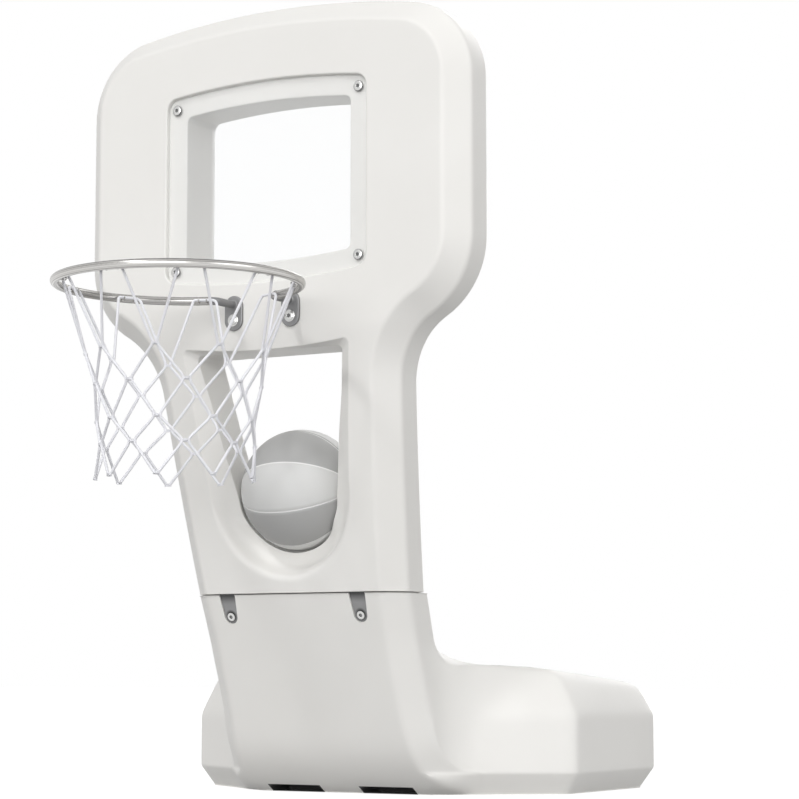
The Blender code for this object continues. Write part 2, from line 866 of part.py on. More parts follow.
def make_lower_shell():
    shell = add_object("lower_shell", tank_solid(), "moulded_shell")
    hollow = add_object("hollow", tank_space(BASE_WALL, TANK_TOP))
    for size, floor, out in ports():
        keep = cylinder(size["well"] + BASE_WALL, floor - out * BASE_WALL, floor + out * PORT_REACH)
        boolean(hollow, add_object("keep", keep))
    for side in SIDES.values():
        boolean(hollow, add_object("keep", notch(side, BASE_WALL)))
    boolean(shell, hollow)
    pocket_low = (-SPIGOT_HALF - SPIGOT_CLEAR, SPIGOT_FRONT - SPIGOT_CLEAR, SPIGOT_LOW - SPIGOT_CLEAR)
    pocket_high = (SPIGOT_HALF + SPIGOT_CLEAR, SPIGOT_REAR + SPIGOT_CLEAR, SEAM + 0.02)
    boolean(shell, add_object("pocket", box(pocket_low, pocket_high)))
    for size, floor, out in ports():
        cut_hole(shell, size["well"], floor, floor + out * PORT_REACH, 24)
        inside = floor - out * 2 * size["neck_long"]
        cut_hole(shell, size["neck"] + 2 * GAP, inside, floor + out * PORT_REACH, size["sides"])
    for side in SIDES.values():
        boolean(shell, add_object("notch", notch(side, 0.0)))
    return shell


# Fixings


def seam_screw_seat(side):
    """Point on the floor of a tab's recess and the direction out of it."""
    point = Vector((side * TAB_X, lower_front(TAB_SCREW_Z) + TAB_RECESS, TAB_SCREW_Z))
    return point, Vector((0, -1, -LOWER_SLOPE)).normalized()


def screw(seat, out, length):
    """Button-head screw: its head stands on seat, its shank goes in against out."""
    profile = [(0, -length), (SCREW_R, -length), (SCREW_R, 0), (SCREW_HEAD_R, 0)]
    profile += [(SCREW_HEAD_R, SCREW_HEAD_H / 3), (0.6 * SCREW_HEAD_R, SCREW_HEAD_H)]
    profile += [(SOCKET_R, SCREW_HEAD_H), (0, SCREW_HEAD_H - SOCKET_DEEP)]
    return turned(profile, seat, out, segments=10)


def ring_part(inner, outer, seat, out, height, segments=12):
    profile = [(inner, 0), (outer, 0), (outer, height), (inner, height)]
    return turned(profile, seat, out, segments=segments)


def cut_hole(target, radius, start, end, segments=12):
    boolean(target, add_object("hole", cylinder(radius, start, end, segments)))


def pane_screw_points():
    points = {}
    for row, up in (("lower", -1), ("upper", 1)):
        for name, side in SIDES.items():
            points[f"{row}_{name}"] = Vector((side * PANE_SCREW_X, FACE_Y, WINDOW_Z + up * PANE_SCREW_Z))
    return points


def bracket_screw_point(side):
    return Vector((side * BRACKET_X, FACE_Y, BRACKET_SCREW_Z))


def make_upper_shell():
    shell = add_object("upper_shell", board_solid(0), "moulded_shell")
    boolean(shell, add_object("window", window_solid(0)))
    boolean(shell, add_object("ball_tunnel", ball_tunnel(0)))
    hollow = add_object("hollow", board_solid(WALL))
    boolean(hollow, add_object("window", window_solid(WALL)))
    boolean(hollow, add_object("ball_tunnel", ball_tunnel(WALL)))
    boolean(hollow, add_object("below", box((-1, -2, 0), (1, 2, SEAM + WALL))))
    boolean(shell, add_object("below", box((-1, -2, 0), (1, 2, SEAM))))
    levels = (0.890, 0.870, 0.850, 0.780, 0.680, 0.580, 0.480)
    lean_mesh(shell, levels)
    lean_mesh(hollow, levels)
    boolean(hollow, add_object("seat", ball_path(BALL_RADIUS + SEAT_GAP + WALL)))
    for point in pane_screw_points().values():
        boolean(hollow, add_object("boss", cylinder(BOSS_R, point, point + BACK * PANE_BOSS_DEEP, 12)))
    for side in SIDES.values():
        spot = bracket_screw_point(side)
        boolean(hollow, add_object("boss", cylinder(BOSS_R, spot, spot + BACK * BRACKET_BOSS_DEEP, 12)))
    for side in SIDES.values():
        low = (side * TAB_X - 0.021, FACE_Y, SEAM - 0.01)
        high = (side * TAB_X + 0.021, lower_front(SEAM) + 0.014, SEAM + TAB_TONGUE + 0.008)
        boolean(hollow, add_object("keep", box(low, high)))
    boolean(hollow, add_object("spigot", spigot(WALL)), "UNION")
    boolean(shell, add_object("seat", ball_path(BALL_RADIUS + SEAT_GAP)))
    boolean(shell, add_object("spigot", spigot(0)), "UNION")
    boolean(shell, hollow)
    vent = Vector((0, (SPIGOT_FRONT + SPIGOT_REAR) / 2, SPIGOT_LOW))
    cut_hole(shell, VENT_R, vent - UP * 0.1, vent + UP * 0.026)
    for point in pane_screw_points().values():
        cut_hole(shell, INSERT_R + GAP, point, point + BACK * (LEDGE_DEPTH + INSERT_LEN + 0.0025))
    for side in SIDES.values():
        spot = bracket_screw_point(side)
        cut_hole(shell, INSERT_R + GAP, spot + FRONT * 0.01, spot + BACK * (INSERT_LEN + 0.004))
    return shell


def make_pane():
    rows = []
    trim = PANE_GAP
    for depth in (LEDGE_DEPTH - GAP - PANE_THICK, LEDGE_DEPTH - GAP):
        ring = bowed_rectangle(WINDOW_HALF_W - trim, WINDOW_HALF_H - trim, WINDOW_CORNER - trim)
        rows.append([(x, FACE_Y + depth, z) for x, z in ring])
    pane = add_object("window_pane", loft(rows), "clear_pane")
    for point in pane_screw_points().values():
        cut_hole(pane, WASHER_BORE, point + FRONT * 0.01, point + BACK * 0.03)


def make_pane_fixings():
    face = LEDGE_DEPTH - GAP - PANE_THICK
    for name, point in pane_screw_points().items():
        seat = point + BACK * (face - GAP)
        washer = ring_part(WASHER_BORE, PANE_WASHER_R, seat, FRONT, PANE_WASHER_HIGH)
        add_object(f"pane_washer_{name}", washer, "washer_nylon")
        seat += FRONT * (PANE_WASHER_HIGH + GAP)
        add_object(f"pane_screw_{name}", screw(seat, FRONT, SCREW_LONG), "screw_steel")
        mouth = point + BACK * (LEDGE_DEPTH + 2 * GAP)
        insert = ring_part(SCREW_R + GAP, INSERT_R, mouth, BACK, INSERT_LEN)
        add_object(f"pane_insert_{name}", insert, "insert_brass")


def rim_centre():
    return Vector((0, FACE_Y - RIM_REACH, RIM_Z))


def rim_end(side):
    """Middle of one of the rim's open ends, and the way the bracket's tube leaves it."""
    spot = rim_centre() + Vector((side * math.sin(RIM_OPEN), math.cos(RIM_OPEN), 0)) * RIM_RADIUS
    return spot, Vector((-side * math.cos(RIM_OPEN), math.sin(RIM_OPEN), 0))


def rim_path():
    """Along the rim from its left end, round the front, to its right end."""
    start = math.pi / 2 + RIM_OPEN
    round_front = arc((0, 0), RIM_RADIUS, start, 3 * math.pi - start, 44)
    path = [rim_centre() + Vector((x, y, 0)) for x, y in round_front]
    left, right = [spot - leaving * SQUARE_END for spot, leaving in (rim_end(-1), rim_end(1))]
    return path[:1] + [left] + path[1:-1] + [right] + path[-1:]


def elbow_path(side):
    """From the rim's open end, round the bend, and straight back to the plate."""
    spot, leaving = rim_end(side)
    radius = (abs(spot.x) - BRACKET_X) / (1 - math.sin(RIM_OPEN))
    middle = (abs(spot.x) + radius * math.sin(RIM_OPEN), spot.y + radius * math.cos(RIM_OPEN))
    bend = arc(middle, radius, -math.pi / 2 - RIM_OPEN, -math.pi, 6)[1:]
    path = [spot + leaving * GAP, spot + leaving * SQUARE_END]
    path += [Vector((side * x, y, RIM_Z)) for x, y in bend]
    return path + [Vector((side * BRACKET_X, FACE_Y - 0.002, RIM_Z))]


def hook_angles():
    """Two hooks under each of the net's loops, none of them past the rim's open ends."""
    step = 2 * math.pi / NET_LOOPS
    spread = LOOP_HALF_ANGLE * HOOK_SPREAD
    angles = []
    for k in range(NET_LOOPS):
        for side in (-1, 1):
            past_back = NET_PHASE + step * k + side * spread - math.pi / 2
            if abs(past_back) < RIM_OPEN + HOOK_FROM_END:
                past_back = math.copysign(RIM_OPEN + HOOK_FROM_END, past_back)
            angles.append(past_back + math.pi / 2)
    return angles


def hook(angle):
    """Small wire hook welded inside the rim, passing under the net's cord and up in front of it."""
    centre = rim_centre()
    out = Vector((math.cos(angle), math.sin(angle), 0))
    drop = Vector((0, 0, -NET_CORD / 2 - 3 * GAP - HOOK_WIRE))
    near = loop_radius() - NET_CORD / 2 - NET_CLEAR - HOOK_WIRE
    root = centre + out * (RIM_RADIUS - RIM_TUBE / 3) + drop
    bend = centre + out * near + drop
    tip = centre + out * near + UP * HOOK_TIP
    return swept([root, bend, tip], HOOK_WIRE)


def make_rim():
    rim = add_object("rim_ring", swept(rim_path(), RIM_TUBE, 8), "rim_steel", 60)
    hooks = join([hook(angle) for angle in hook_angles()])
    boolean(rim, add_object("hooks", hooks), "UNION")


def plate_outline():
    half = PLATE_W / 2
    low = arc((0, BRACKET_SCREW_Z), half, math.pi, 2 * math.pi, 10)
    high = arc((0, PLATE_TOP_Z - half), half, 0, math.pi, 10)
    return low + high


def make_bracket(name, side):
    """Bracket: obround plate on the face and a bent tube arm that carries on from the rim's end."""
    x = side * BRACKET_X
    middle = (BRACKET_SCREW_Z + PLATE_TOP_Z - PLATE_W / 2) / 2
    half_high = PLATE_TOP_Z - middle
    rows = []
    for depth, draw in ((GAP, 0.0), (PLATE_THICK - PLATE_EDGE, 0.0), (PLATE_THICK, PLATE_EDGE)):
        across = 1 - draw / (PLATE_W / 2)
        upward = 1 - draw / half_high
        row = []
        for px, pz in plate_outline():
            row.append((x + px * across, FACE_Y - depth, middle + (pz - middle) * upward))
        rows.append(row)
    bracket = add_object(f"bracket_{name}", loft(rows), "bracket_steel")
    boolean(bracket, add_object("arm", swept(elbow_path(side), ARM_RADIUS, 12)), "UNION")
    spot = bracket_screw_point(side)
    cut_hole(bracket, WASHER_BORE, spot + FRONT * 0.02, spot + BACK * 0.01)
    seat = spot + FRONT * (PLATE_THICK + GAP)
    washer = ring_part(WASHER_BORE, BRACKET_WASHER_R, seat, FRONT, BRACKET_WASHER_HIGH)
    add_object(f"bracket_washer_{name}", washer, "screw_steel")
    seat += FRONT * (BRACKET_WASHER_HIGH + GAP)
    add_object(f"bracket_screw_{name}", screw(seat, FRONT, SCREW_LONG), "screw_steel")
    insert = ring_part(SCREW_R + GAP, INSERT_R, spot + BACK * INSERT_SUNK, BACK, INSERT_LEN)
    add_object(f"bracket_insert_{name}", insert, "insert_brass")


def loop_radius():
    return RIM_RADIUS - RIM_TUBE - NET_CORD / 2 - NET_CLEAR


def make_net():
    """Cord lattice: nine loops inside the rim, four rows of crossings and nine points at the bottom."""
    centre = rim_centre()
    bm = bmesh.new()

    def corner(angle, radius, z):
        return bm.verts.new((centre.x + radius * math.cos(angle), centre.y + radius * math.sin(angle), z))

    step = 2 * math.pi / NET_LOOPS
    angles = [NET_PHASE + step * k for k in range(NET_LOOPS)]
    start = [corner(a - LOOP_HALF_ANGLE, loop_radius(), RIM_Z) for a in angles]
    finish = [corner(a + LOOP_HALF_ANGLE, loop_radius(), RIM_Z) for a in angles]
    rows = []
    for index, (z, radius) in enumerate(NET_ROWS):
        shift = step / 2 if index % 2 == 0 else 0.0
        rows.append([corner(a + shift, radius, z) for a in angles])
    for k in range(NET_LOOPS):
        bm.faces.new((start[k], finish[k], rows[0][k], rows[1][k], rows[0][k - 1]))
        after = (k + 1) % NET_LOOPS
        bm.faces.new((rows[0][k], rows[1][after], rows[2][k], rows[1][k]))
        bm.faces.new((rows[1][k], rows[2][k], rows[3][k], rows[2][k - 1]))
        bm.faces.new((rows[2][k], rows[3][after], rows[4][k], rows[3][k]))
    net = add_object("net", bm, "net_cord")
    wire = net.modifiers.new("cord", "WIREFRAME")
    wire.thickness = NET_CORD
    wire.use_boundary = True
    wire.use_replace = True
    wire.use_even_offset = True
    return net


def swept(points, radius, sides=6):
    """Mitred tube along a bent line."""
    rows = []
    for i, point in enumerate(points):
        before = (point - points[i - 1]).normalized() if i else (points[1] - point).normalized()
        after = (points[i + 1] - point).normalized() if i < len(points) - 1 else before
        plane = (before + after).normalized()
        side = before.cross(UP)
        if side.length < 1e-4:
            side = (points[1] - points[0]).normalized().cross(UP)
        side.normalize()
        up = side.cross(before).normalized()
        ring = []
        for k in range(sides):
            around = 2 * math.pi * k / sides
            spot = point + (side * math.cos(around) + up * math.sin(around)) * radius
            shift = (point - spot).dot(plane) / before.dot(plane)
            ring.append(spot + before * shift)
        rows.append(ring)
    return loft(rows)


def make_ball():
    """Hollow ball and its valve, made round the ball's own centre."""
    skin_bm = bmesh.new()
    bmesh.ops.create_uvsphere(skin_bm, u_segments=24, v_segments=14, radius=BALL_RADIUS)
    skin = add_object("ball_shell", skin_bm, "ball_rubber", 60)
    hollow = bmesh.new()
    bmesh.ops.create_uvsphere(hollow, u_segments=14, v_segments=8, radius=BALL_RADIUS - BALL_WALL)
    boolean(skin, add_object("hollow", hollow))
    cut_hole(skin, VALVE_R + GAP, BACK * (BALL_RADIUS - 0.026), BACK * (BALL_RADIUS + 0.014))
    bore = 0.3 * VALVE_R
    profile = [(bore, 0), (VALVE_R, 0), (VALVE_R, -VALVE_LONG), (bore, -VALVE_LONG)]
    mouth = BACK * (BALL_RADIUS - 0.0012)
    valve = add_object("ball_valve", turned(profile, mouth, BACK, 12), "seal_rubber")
    for item in (skin, valve):
        item.location = ball_centre()


def make_seam_fixings(name, side):
    x = side * TAB_X
    point, out = seam_screw_seat(side)
    slab = tab_slab(x, 0, TAB_RECESS - TAB_THICK - GAP, TAB_RECESS - GAP)
    plate = add_object(f"seam_tab_{name}", slab, "bracket_steel")
    boolean(plate, add_object("tongue", tab_tongue(x, 0)), "UNION")
    cut_hole(plate, WASHER_BORE, point + out * 0.01, point - out * 0.01)
    seat = point + out * (TAB_THICK + 3 * GAP)
    add_object(f"seam_screw_{name}", screw(seat, out, SEAM_SCREW_LONG), "screw_steel")
    insert = ring_part(SCREW_R + GAP, INSERT_R, point - out * INSERT_SUNK, -out, INSERT_LEN)
    add_object(f"seam_insert_{name}", insert, "insert_brass")


def cut_seam(upper, lower):
    for side in SIDES.values():
        x = side * TAB_X
        boolean(upper, add_object("slot", tab_tongue(x, GAP)))
        boolean(lower, add_object("recess", tab_slab(x, 0.0012, -0.01, TAB_RECESS)))
        point, out = seam_screw_seat(side)
        cut_hole(lower, INSERT_R + GAP, point + out * 0.003, point - out * (INSERT_SUNK + INSERT_LEN + GAP))


def make_port(size, floor, out, names):
    """Collar moulded into the tank, gasket on its lip and a screwed stopper with a finger grip."""
    collar_name, gasket_name, stopper_name = names
    lip = size["lip_high"]
    collar = [
        (size["bore"], -size["neck_long"]),
        (size["neck"], -size["neck_long"]),
        (size["neck"], GAP),
        (size["lip"], GAP),
        (size["lip"], lip),
        (size["bore"], lip),
    ]
    add_object(collar_name, turned(collar, floor, out, size["sides"]), "cap_plastic")
    seat = floor + out * (lip + GAP)
    inner = size["bore"] + 2 * GAP
    gasket = ring_part(inner, size["lip"] - 2 * GAP, seat, out, size["seal_high"], size["sides"])
    add_object(gasket_name, gasket, "seal_rubber")
    thread = size["bore"] - THREAD_CLEAR
    under = lip + size["seal_high"] + 2 * GAP
    crown = size["head"] - size["chamfer"]
    stopper = [
        (0, -size["thread_long"]),
        (thread, -size["thread_long"]),
        (thread, under),
        (size["head"], under),
        (size["head"], size["head_top"] - size["chamfer"]),
        (crown, size["head_top"]),
        (crown - size["brim"], size["head_top"]),
        (size["dish"], size["dish_floor"]),
        (0, size["dish_floor"]),
    ]
    made = add_object(stopper_name, turned(stopper, segments=size["sides"]), "cap_plastic")
    half_long = 0.92 * size["dish"]
    half_wide = 0.1 * size["head"]
    grip_low = (-half_long, -half_wide, size["dish_floor"] - 0.001)
    grip_high = (half_long, half_wide, size["head_top"] - GAP)
    boolean(made, add_object("grip", box(grip_low, grip_high)), "UNION")
    made.location = floor
    made.rotation_euler = UP.rotation_difference(out).to_euler()


def make_water():
    """Water that fills most of the tank and keeps the hoop upright."""
    clear = WATER_CLEAR
    water = add_object("water_ballast", tank_space(BASE_WALL + clear, WATER_LEVEL), "water")
    for size, floor, out in ports():
        well = (size["well"] + BASE_WALL + clear, floor - out * (BASE_WALL + clear))
        neck = (size["neck"] + clear, floor - out * (size["neck_long"] + clear))
        for radius, start in (well, neck):
            boolean(water, add_object("keep", cylinder(radius, start, floor + out * PORT_REACH)))
    for side in SIDES.values():
        boolean(water, add_object("keep", notch(side, BASE_WALL + clear)))


def main():
    clear_scene()
    cut_seam(make_upper_shell(), make_lower_shell())
    make_pane()
    make_pane_fixings()
    make_rim()
    for name, side in SIDES.items():
        make_bracket(name, side)
        make_seam_fixings(name, side)
    make_net()
    make_ball()
    filler, drain = ports()
    make_port(*filler, ("fill_collar", "fill_gasket", "fill_cap"))
    make_port(*drain, ("drain_collar", "drain_gasket", "drain_plug"))
    make_water()


main()
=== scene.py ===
"""Looks of the poolside basketball hoop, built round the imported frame.

Metres, +Z up, the front faces -Y, X = 0 is the plane of symmetry, the origin is on the floor.
"""

import math
from types import SimpleNamespace

import bmesh
import bpy
from mathutils import Matrix, Vector
from mathutils.geometry import interpolate_bezier


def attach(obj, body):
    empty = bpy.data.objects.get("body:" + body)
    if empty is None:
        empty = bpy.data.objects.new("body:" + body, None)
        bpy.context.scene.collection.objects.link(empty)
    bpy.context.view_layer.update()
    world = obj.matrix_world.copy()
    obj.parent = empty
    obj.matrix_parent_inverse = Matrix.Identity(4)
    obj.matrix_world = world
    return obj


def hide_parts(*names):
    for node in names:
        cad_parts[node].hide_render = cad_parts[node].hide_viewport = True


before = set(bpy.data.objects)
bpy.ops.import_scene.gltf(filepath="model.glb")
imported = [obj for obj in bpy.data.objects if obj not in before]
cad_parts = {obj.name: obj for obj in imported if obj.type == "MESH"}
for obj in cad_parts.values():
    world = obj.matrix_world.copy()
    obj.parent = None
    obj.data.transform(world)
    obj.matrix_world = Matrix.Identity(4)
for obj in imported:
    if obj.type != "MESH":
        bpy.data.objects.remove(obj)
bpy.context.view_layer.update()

UP = Vector((0, 0, 1))
FRONT = Vector((0, -1, 0))
BACK = Vector((0, 1, 0))
RIGHT = Vector((1, 0, 0))
SIDES = {"left": -1, "right": 1}

# Heights and depths shared by both mouldings
SEAM = 0.383
LOWER_TOP = 0.381
BEND_TOP = 0.870
BEND_SOFTNESS = 0.010
FACE_Y = -0.575
BOARD_DEPTH = 0.139

# Backboard and column
BOARD_TOP = 1.503
BOARD_HALF = 0.429
EDGE_BEVEL = 0.041
EDGE_SOFT = 0.0065
FACE_SUPPORT = 0.014
TOP_RADIUS = 1.8
CORNER_RADIUS = 0.150
NECK_ANGLE = math.radians(60)
COLUMN_TAPER = 0.0837
COLUMN_ROWS = (SEAM - 0.06, 0.5, 0.64)
WAIST = (0.2690, 0.768)
NECK_RADIUS = 0.153
LEAN_SLOPE = 0.167
LEAN_CURVE = 0.085
LEAN_ROWS = ((0.40, 0.85, 24), (0.85, 0.90, 10))

# Window in the backboard
WINDOW_Z = 1.1617
WINDOW_HALF_W = 0.226
WINDOW_HALF_H = 0.1948
WINDOW_BOW = 1.6
WINDOW_CORNER = 0.024
WINDOW_SOFT = (0.0035, 0.0012, 0.0035, 0.008, 0.006, 0.004)
LEDGE_W = 0.041
LEDGE_DEPTH = 0.012
LEDGE_CORNER = 0.012
TUNNEL_END = 0.098
FLARE_BEND = (0.024, 0.010)
REAR_FLARE = 0.034
PANE_THICK = 0.004
PANE_GAP = 0.001
PANE_SOFT = 0.0010
PANE_RIM = 0.004
PANE_SCREW_X = 0.206
PANE_SCREW_Z = 0.1593
PANE_WASHER_HIGH = 0.0010

# Ball opening: half width of the top edge, its height, its sag, half width where the bowl starts,
# the height there and the lowest point
OPENING_FRONT = (0.186, 0.8485, 0.011, 0.158, 0.588, 0.413)
OPENING_NECK = (0.162, 0.8375, 0.0, 0.110, 0.560, 0.474)
OPENING_REAR = (0.186, 0.8485, 0.0, 0.150, 0.600, 0.430)
OPENING_CORNER = 0.010
NECK_NEAR = 0.015
NECK_FAR = 0.105

# The lip round the neck gets deeper downwards: from a height, over a fall, by a depth. Below SCOOP_FROM the
# flare is scooped: out and deeper by shares of its width, and its roundings grow by their second numbers
LIP_STEPS = ((0.84, 0.10, 0.009), (0.70, 0.14, 0.006), (0.527, 0.045, 0.016))
SCOOP_FROM = 0.58
SCOOP_FALL = 0.12
SCOOP_OUT = 0.16
SCOOP_DEEPER = 0.34
OPENING_SOFT = ((0.0022, 0.0098), (0.002, 0.012), (0.0022, 0.0), (0.006, 0.0), (0.004, 0.0))

# Ball, its seat and the seams: their longitudes in degrees, the pole they run to, half width and depth
BALL_RADIUS = 0.116
BALL_Z = 0.581
BALL_DEPTH = 0.0846
SEAT_GAP = 0.0060
SEAT_TOP = 0.80
SEAMS = [-72.5, -23.0, 25.0, 71.0, 115.0, 159.0, 203.0, 247.0]
BALL_POLE = Vector((0.993, 0.115, 0.032)).normalized()
SEAM_WIDE = 0.0034
SEAM_DEEP = 0.0017

# Rim, brackets and net
RIM_Z = 0.9265
RIM_REACH = 0.2747
RIM_RADIUS = 0.2205
RIM_TUBE = 0.008
RIM_OPEN = math.radians(19.6)
SQUARE_END = 0.0006
BRACKET_X = 0.0637
BRACKET_SCREW_Z = 0.8966
PLATE_W = 0.040
PLATE_TOP_Z = 0.944
PLATE_THICK = 0.005
ARM_RADIUS = 0.0075
PLATE_BEAD = 0.0016
RIM_BEAD = 0.0013
WASHER_R = 0.0115
WASHER_HIGH = 0.0012
HOOK_WIRE = 0.0012
HOOK_SPREAD = 0.55
HOOK_FROM_END = math.radians(0.8)
NET_LOOPS = 9
NET_CORD = 0.0052
NET_CLEAR = 0.0016
NET_ROWS = ((0.797, 0.164), (0.738, 0.150), (0.674, 0.1427), (0.631, 0.139), (0.574, 0.144))
NET_CUTS = [0.010] * 5 + [0.004] * 2 + [0.010] * 3
NET_PHASE = math.radians(-8.6)
NET_STEP = 2 * math.pi / NET_LOOPS
LOOP_HALF_ANGLE = math.radians(5.9)
KNOT_WIRE = 0.0011
KNOT_HALF_HIGH = 0.0024

# Base
BASE_HALF = 0.438
BASE_REAR = 0.275
BAND_LOW = 0.041
BAND_HIGH = 0.145
FOOT_INSET = 0.030
HOLLOW_RADIUS = 0.120
DIAGONAL_TURN = math.radians(54.2)
SIDE_CORNER = 0.030
SHOULDER_REACH = 0.100
SHOULDER_CUT = 0.007
SHOULDER_SPAN = (BAND_HIGH + 0.012, 0.262)
SHOULDER_BESIDE = 0.27
REAR_CORNER = 0.075
OUTLINE_START = (0.2375, -0.345)
TOP_NEAR = 0.2475
TOP_FALL = 0.07
TOP_FALL_FROM = -0.195
EDGE_IN = 0.048
EDGE_POWER = 1.25
SWEEP_TOP = 0.290
SWEEP_REACH = 0.135
PATH_SHARE = 0.35
PATH_LEAVE = 0.09
PATH_ARRIVE = 0.08
SWINGS = ((0.145, 0.0), (0.115, 0.009), (0.090, 0.020), (0.064, 0.044), (0.046, 0.075), (BAND_LOW, 0.107))
NEAR_STEPS = (0.0, 0.08, 0.22, 0.42, 0.68, 1.0)
EDGE_STEPS = (1.0, 0.62, 0.32, 0.12, 0.0)
SWEEP_ROWS = len(NEAR_STEPS) + len(EDGE_STEPS)
NOTCH_X = 0.105
NOTCH_HALF = 0.060
NOTCH_HIGH = 0.0135
NOTCH_REAR = -0.215

# Lower column: its front face and the edge behind the bevel narrow under the collar by COLLAR_IN and widen
# again below SPREAD_FROM by SPREAD
LOWER_SLOPE = 0.37
TOE_START = 0.13
TOE_CURVE = 26.0
FRONT_BEVEL = 0.039
SIDE_DEPTH = 0.070
LOWER_FACE_HALF = 0.197
LOWER_HALF = 0.2366
COLLAR_SPAN = 0.10
COLLAR_IN = (0.006, 0.0025)
SPREAD_FROM = 0.20
SPREAD = (0.60, 0.50)
CURL_FROM = 0.045
CURL_IN = 0.010
CURL_OUT = 0.012
CURL_BULGE = 0.055
CURL_BACK = 0.022
FLAT_IN = 0.018

# Joint between the two mouldings
SPIGOT_HALF = 0.170
SPIGOT_FRONT = FACE_Y + 0.1425
SPIGOT_REAR = FACE_Y + 0.220
SPIGOT_LOW = 0.304
SPIGOT_CLEAR = 0.001
TAB_X = 0.146
TAB_SCREW_Z = 0.3406
TAB_TOP_W = 0.034
TAB_LOW_W = 0.027
TAB_THICK = 0.002
TAB_RECESS = 0.0045
TAB_CLEAR = 0.0012
TAB_TONGUE = 0.020

# Screws; the socket's rows are its mouth, two six-sided rims and its middle, as radius and depth
GAP = 0.0003
SCREW_BORE = 0.0036
SCREW_HEAD_R = 0.0090
SEAM_HEAD_R = 0.0081
SCREW_R = 0.0030
SCREW_LONG = 0.020
SEAM_SCREW_LONG = 0.017
HEAD_UNDERCUT = 0.0016
HEAD_EDGE = 0.0007
DOME_DROP = 0.0260
DOME_RISE = 0.0270
DOME_END = 1.425
SOCKET = ((0.0039, 0.0), (0.0033, 0.0003), (0.0031, 0.0020), (0.0, 0.0026))
INSERT_R = 0.0055
PANE_INSERT_DEEP = 0.0285
PLATE_INSERT_DEEP = 0.018
SEAM_INSERT_DEEP = 0.0155

# Filler on the base's top and drain at its back, and what both stoppers have
FILLER = SimpleNamespace(
    out=UP, x=0, y=0.045, well=0.044, sunk=0.014, neck=0.029, neck_long=0.030, bore=0.0235, lip=0.033,
    lip_high=0.0025, seal_high=0.0016, thread=0.020, head=0.0355, head_top=0.0140, brim=0.0040,
    dish=0.0285, dish_floor=0.0100,
)
DRAIN = SimpleNamespace(
    out=BACK, x=0, z=0.092, well=0.030, sunk=0.009, neck=0.018, neck_long=0.022, bore=0.0135, lip=0.021,
    lip_high=0.0020, seal_high=0.0014, thread=0.015, head=0.0230, head_top=0.0086, brim=0.0030,
    dish=0.0180, dish_floor=0.0065,
)
THREAD_CLEAR = 0.0018
LID_SOFT = 0.0020
LID_CHAMFER = 0.0008
RIBS = 36
RIB_DEEP = 0.0007

# Lamps by direction, strength and spread in degrees; the light all round; the floor's shaded areas by half
# width, middle Y and half depth; the camera
LAMPS = {
    "key": ((-0.18, -0.62, 0.76), 0.76, 5),
    "front": ((0.30, -0.95, 0.14), 2.28, 50),
    "side": ((0.98, -0.06, 0.20), 0.82, 40),
    "back": ((-0.05, 0.88, 0.47), 0.95, 40),
}
AMBIENT = 0.285
SHADED_FLOOR = ((0.300, 0.035, 0.200), (0.185, -0.131, 0.131))
CAMERA_PLACE = (2.5533, -4.4488, 0.2291)
CAMERA_TURN = 30.198
CAMERA_PITCH = 6.326
CAMERA_LENS = 111.7


# Mesh helpers


def mapped_grid(columns, rows, place, around=False, metres=None):
    """Grid of corners, each moved to place(column, row); around closes the last column on the first."""
    bm = bmesh.new()
    layer = bm.loops.layers.uv.new("UVMap")
    across = columns if around else columns - 1
    bmesh.ops.create_grid(bm, x_segments=across, y_segments=rows - 1, size=0.5, calc_uvs=True)
    for index, vert in enumerate(bm.verts[:]):
        row, column = divmod(index, across + 1)
        vert.co = place(column % columns, row)
    if metres:
        for loop in [loop for face in bm.faces for loop in face.loops]:
            u, v = loop[layer].uv
            loop[layer].uv = (u, metres[round(v * (rows - 1))])
    bmesh.ops.remove_doubles(bm, verts=bm.verts, dist=1e-6)
    return bm


def soft_path(corners, cuts, steps=5):
    """Line through some corners, the inner ones rounded, with a point each side to hold the flats flat."""
    hold = 1.3
    path = [corners[0]]
    for before, corner, after, cut in zip(corners, corners[1:], corners[2:], cuts):
        back = (before - corner).normalized()
        onward = (after - corner).normalized()
        path.append(corner + back * cut * hold)
        for i in range(steps + 1):
            t = i / steps
            path.append(corner + back * cut * (1 - t) ** 2 + onward * cut * t**2)
        path.append(corner + onward * cut * hold)
    path.append(corners[-1])
    return path


def strip(rings, cuts, steps=5, closed=True):
    """Surface through rings of matching points, the inner ones rounded by cuts or cuts(station)."""
    paths = []
    for i, corners in enumerate(zip(*rings)):
        paths.append(soft_path(corners, cuts(i) if callable(cuts) else cuts, steps))
    return mapped_grid(len(paths), len(paths[0]), lambda column, row: paths[column][row], closed)


def lathed(profile, sides, radius_at):
    """Solid round +Z with a row for each (radius, height); radius_at(row, radius, around) reshapes it."""

    def place(column, row):
        around = 2 * math.pi * column / sides
        radius = radius_at(row, profile[row][0], around)
        return Vector((radius * math.cos(around), radius * math.sin(around), profile[row][1]))

    return mapped_grid(sides, len(profile), place, True)


def join(parts):
    whole = bmesh.new()
    for part in parts:
        mesh = bpy.data.meshes.new("part")
        part.to_mesh(mesh)
        part.free()
        whole.from_mesh(mesh)
        bpy.data.meshes.remove(mesh)
    return whole


def open_edges(bm, axis=None, level=0.0):
    """Edges with one face: all of them, or those that lie at a level along an axis."""
    edges = [edge for edge in bm.edges if edge.is_boundary]
    if axis is None:
        return edges
    return [edge for edge in edges if all(abs(vert.co[axis] - level) < 1e-6 for vert in edge.verts)]


def faced_out(bm):
    bmesh.ops.recalc_face_normals(bm, faces=bm.faces)
    return bm


def capped(bm):
    """Close each open end with one flat face."""
    bmesh.ops.edgeloop_fill(bm, edges=open_edges(bm))
    return faced_out(bm)


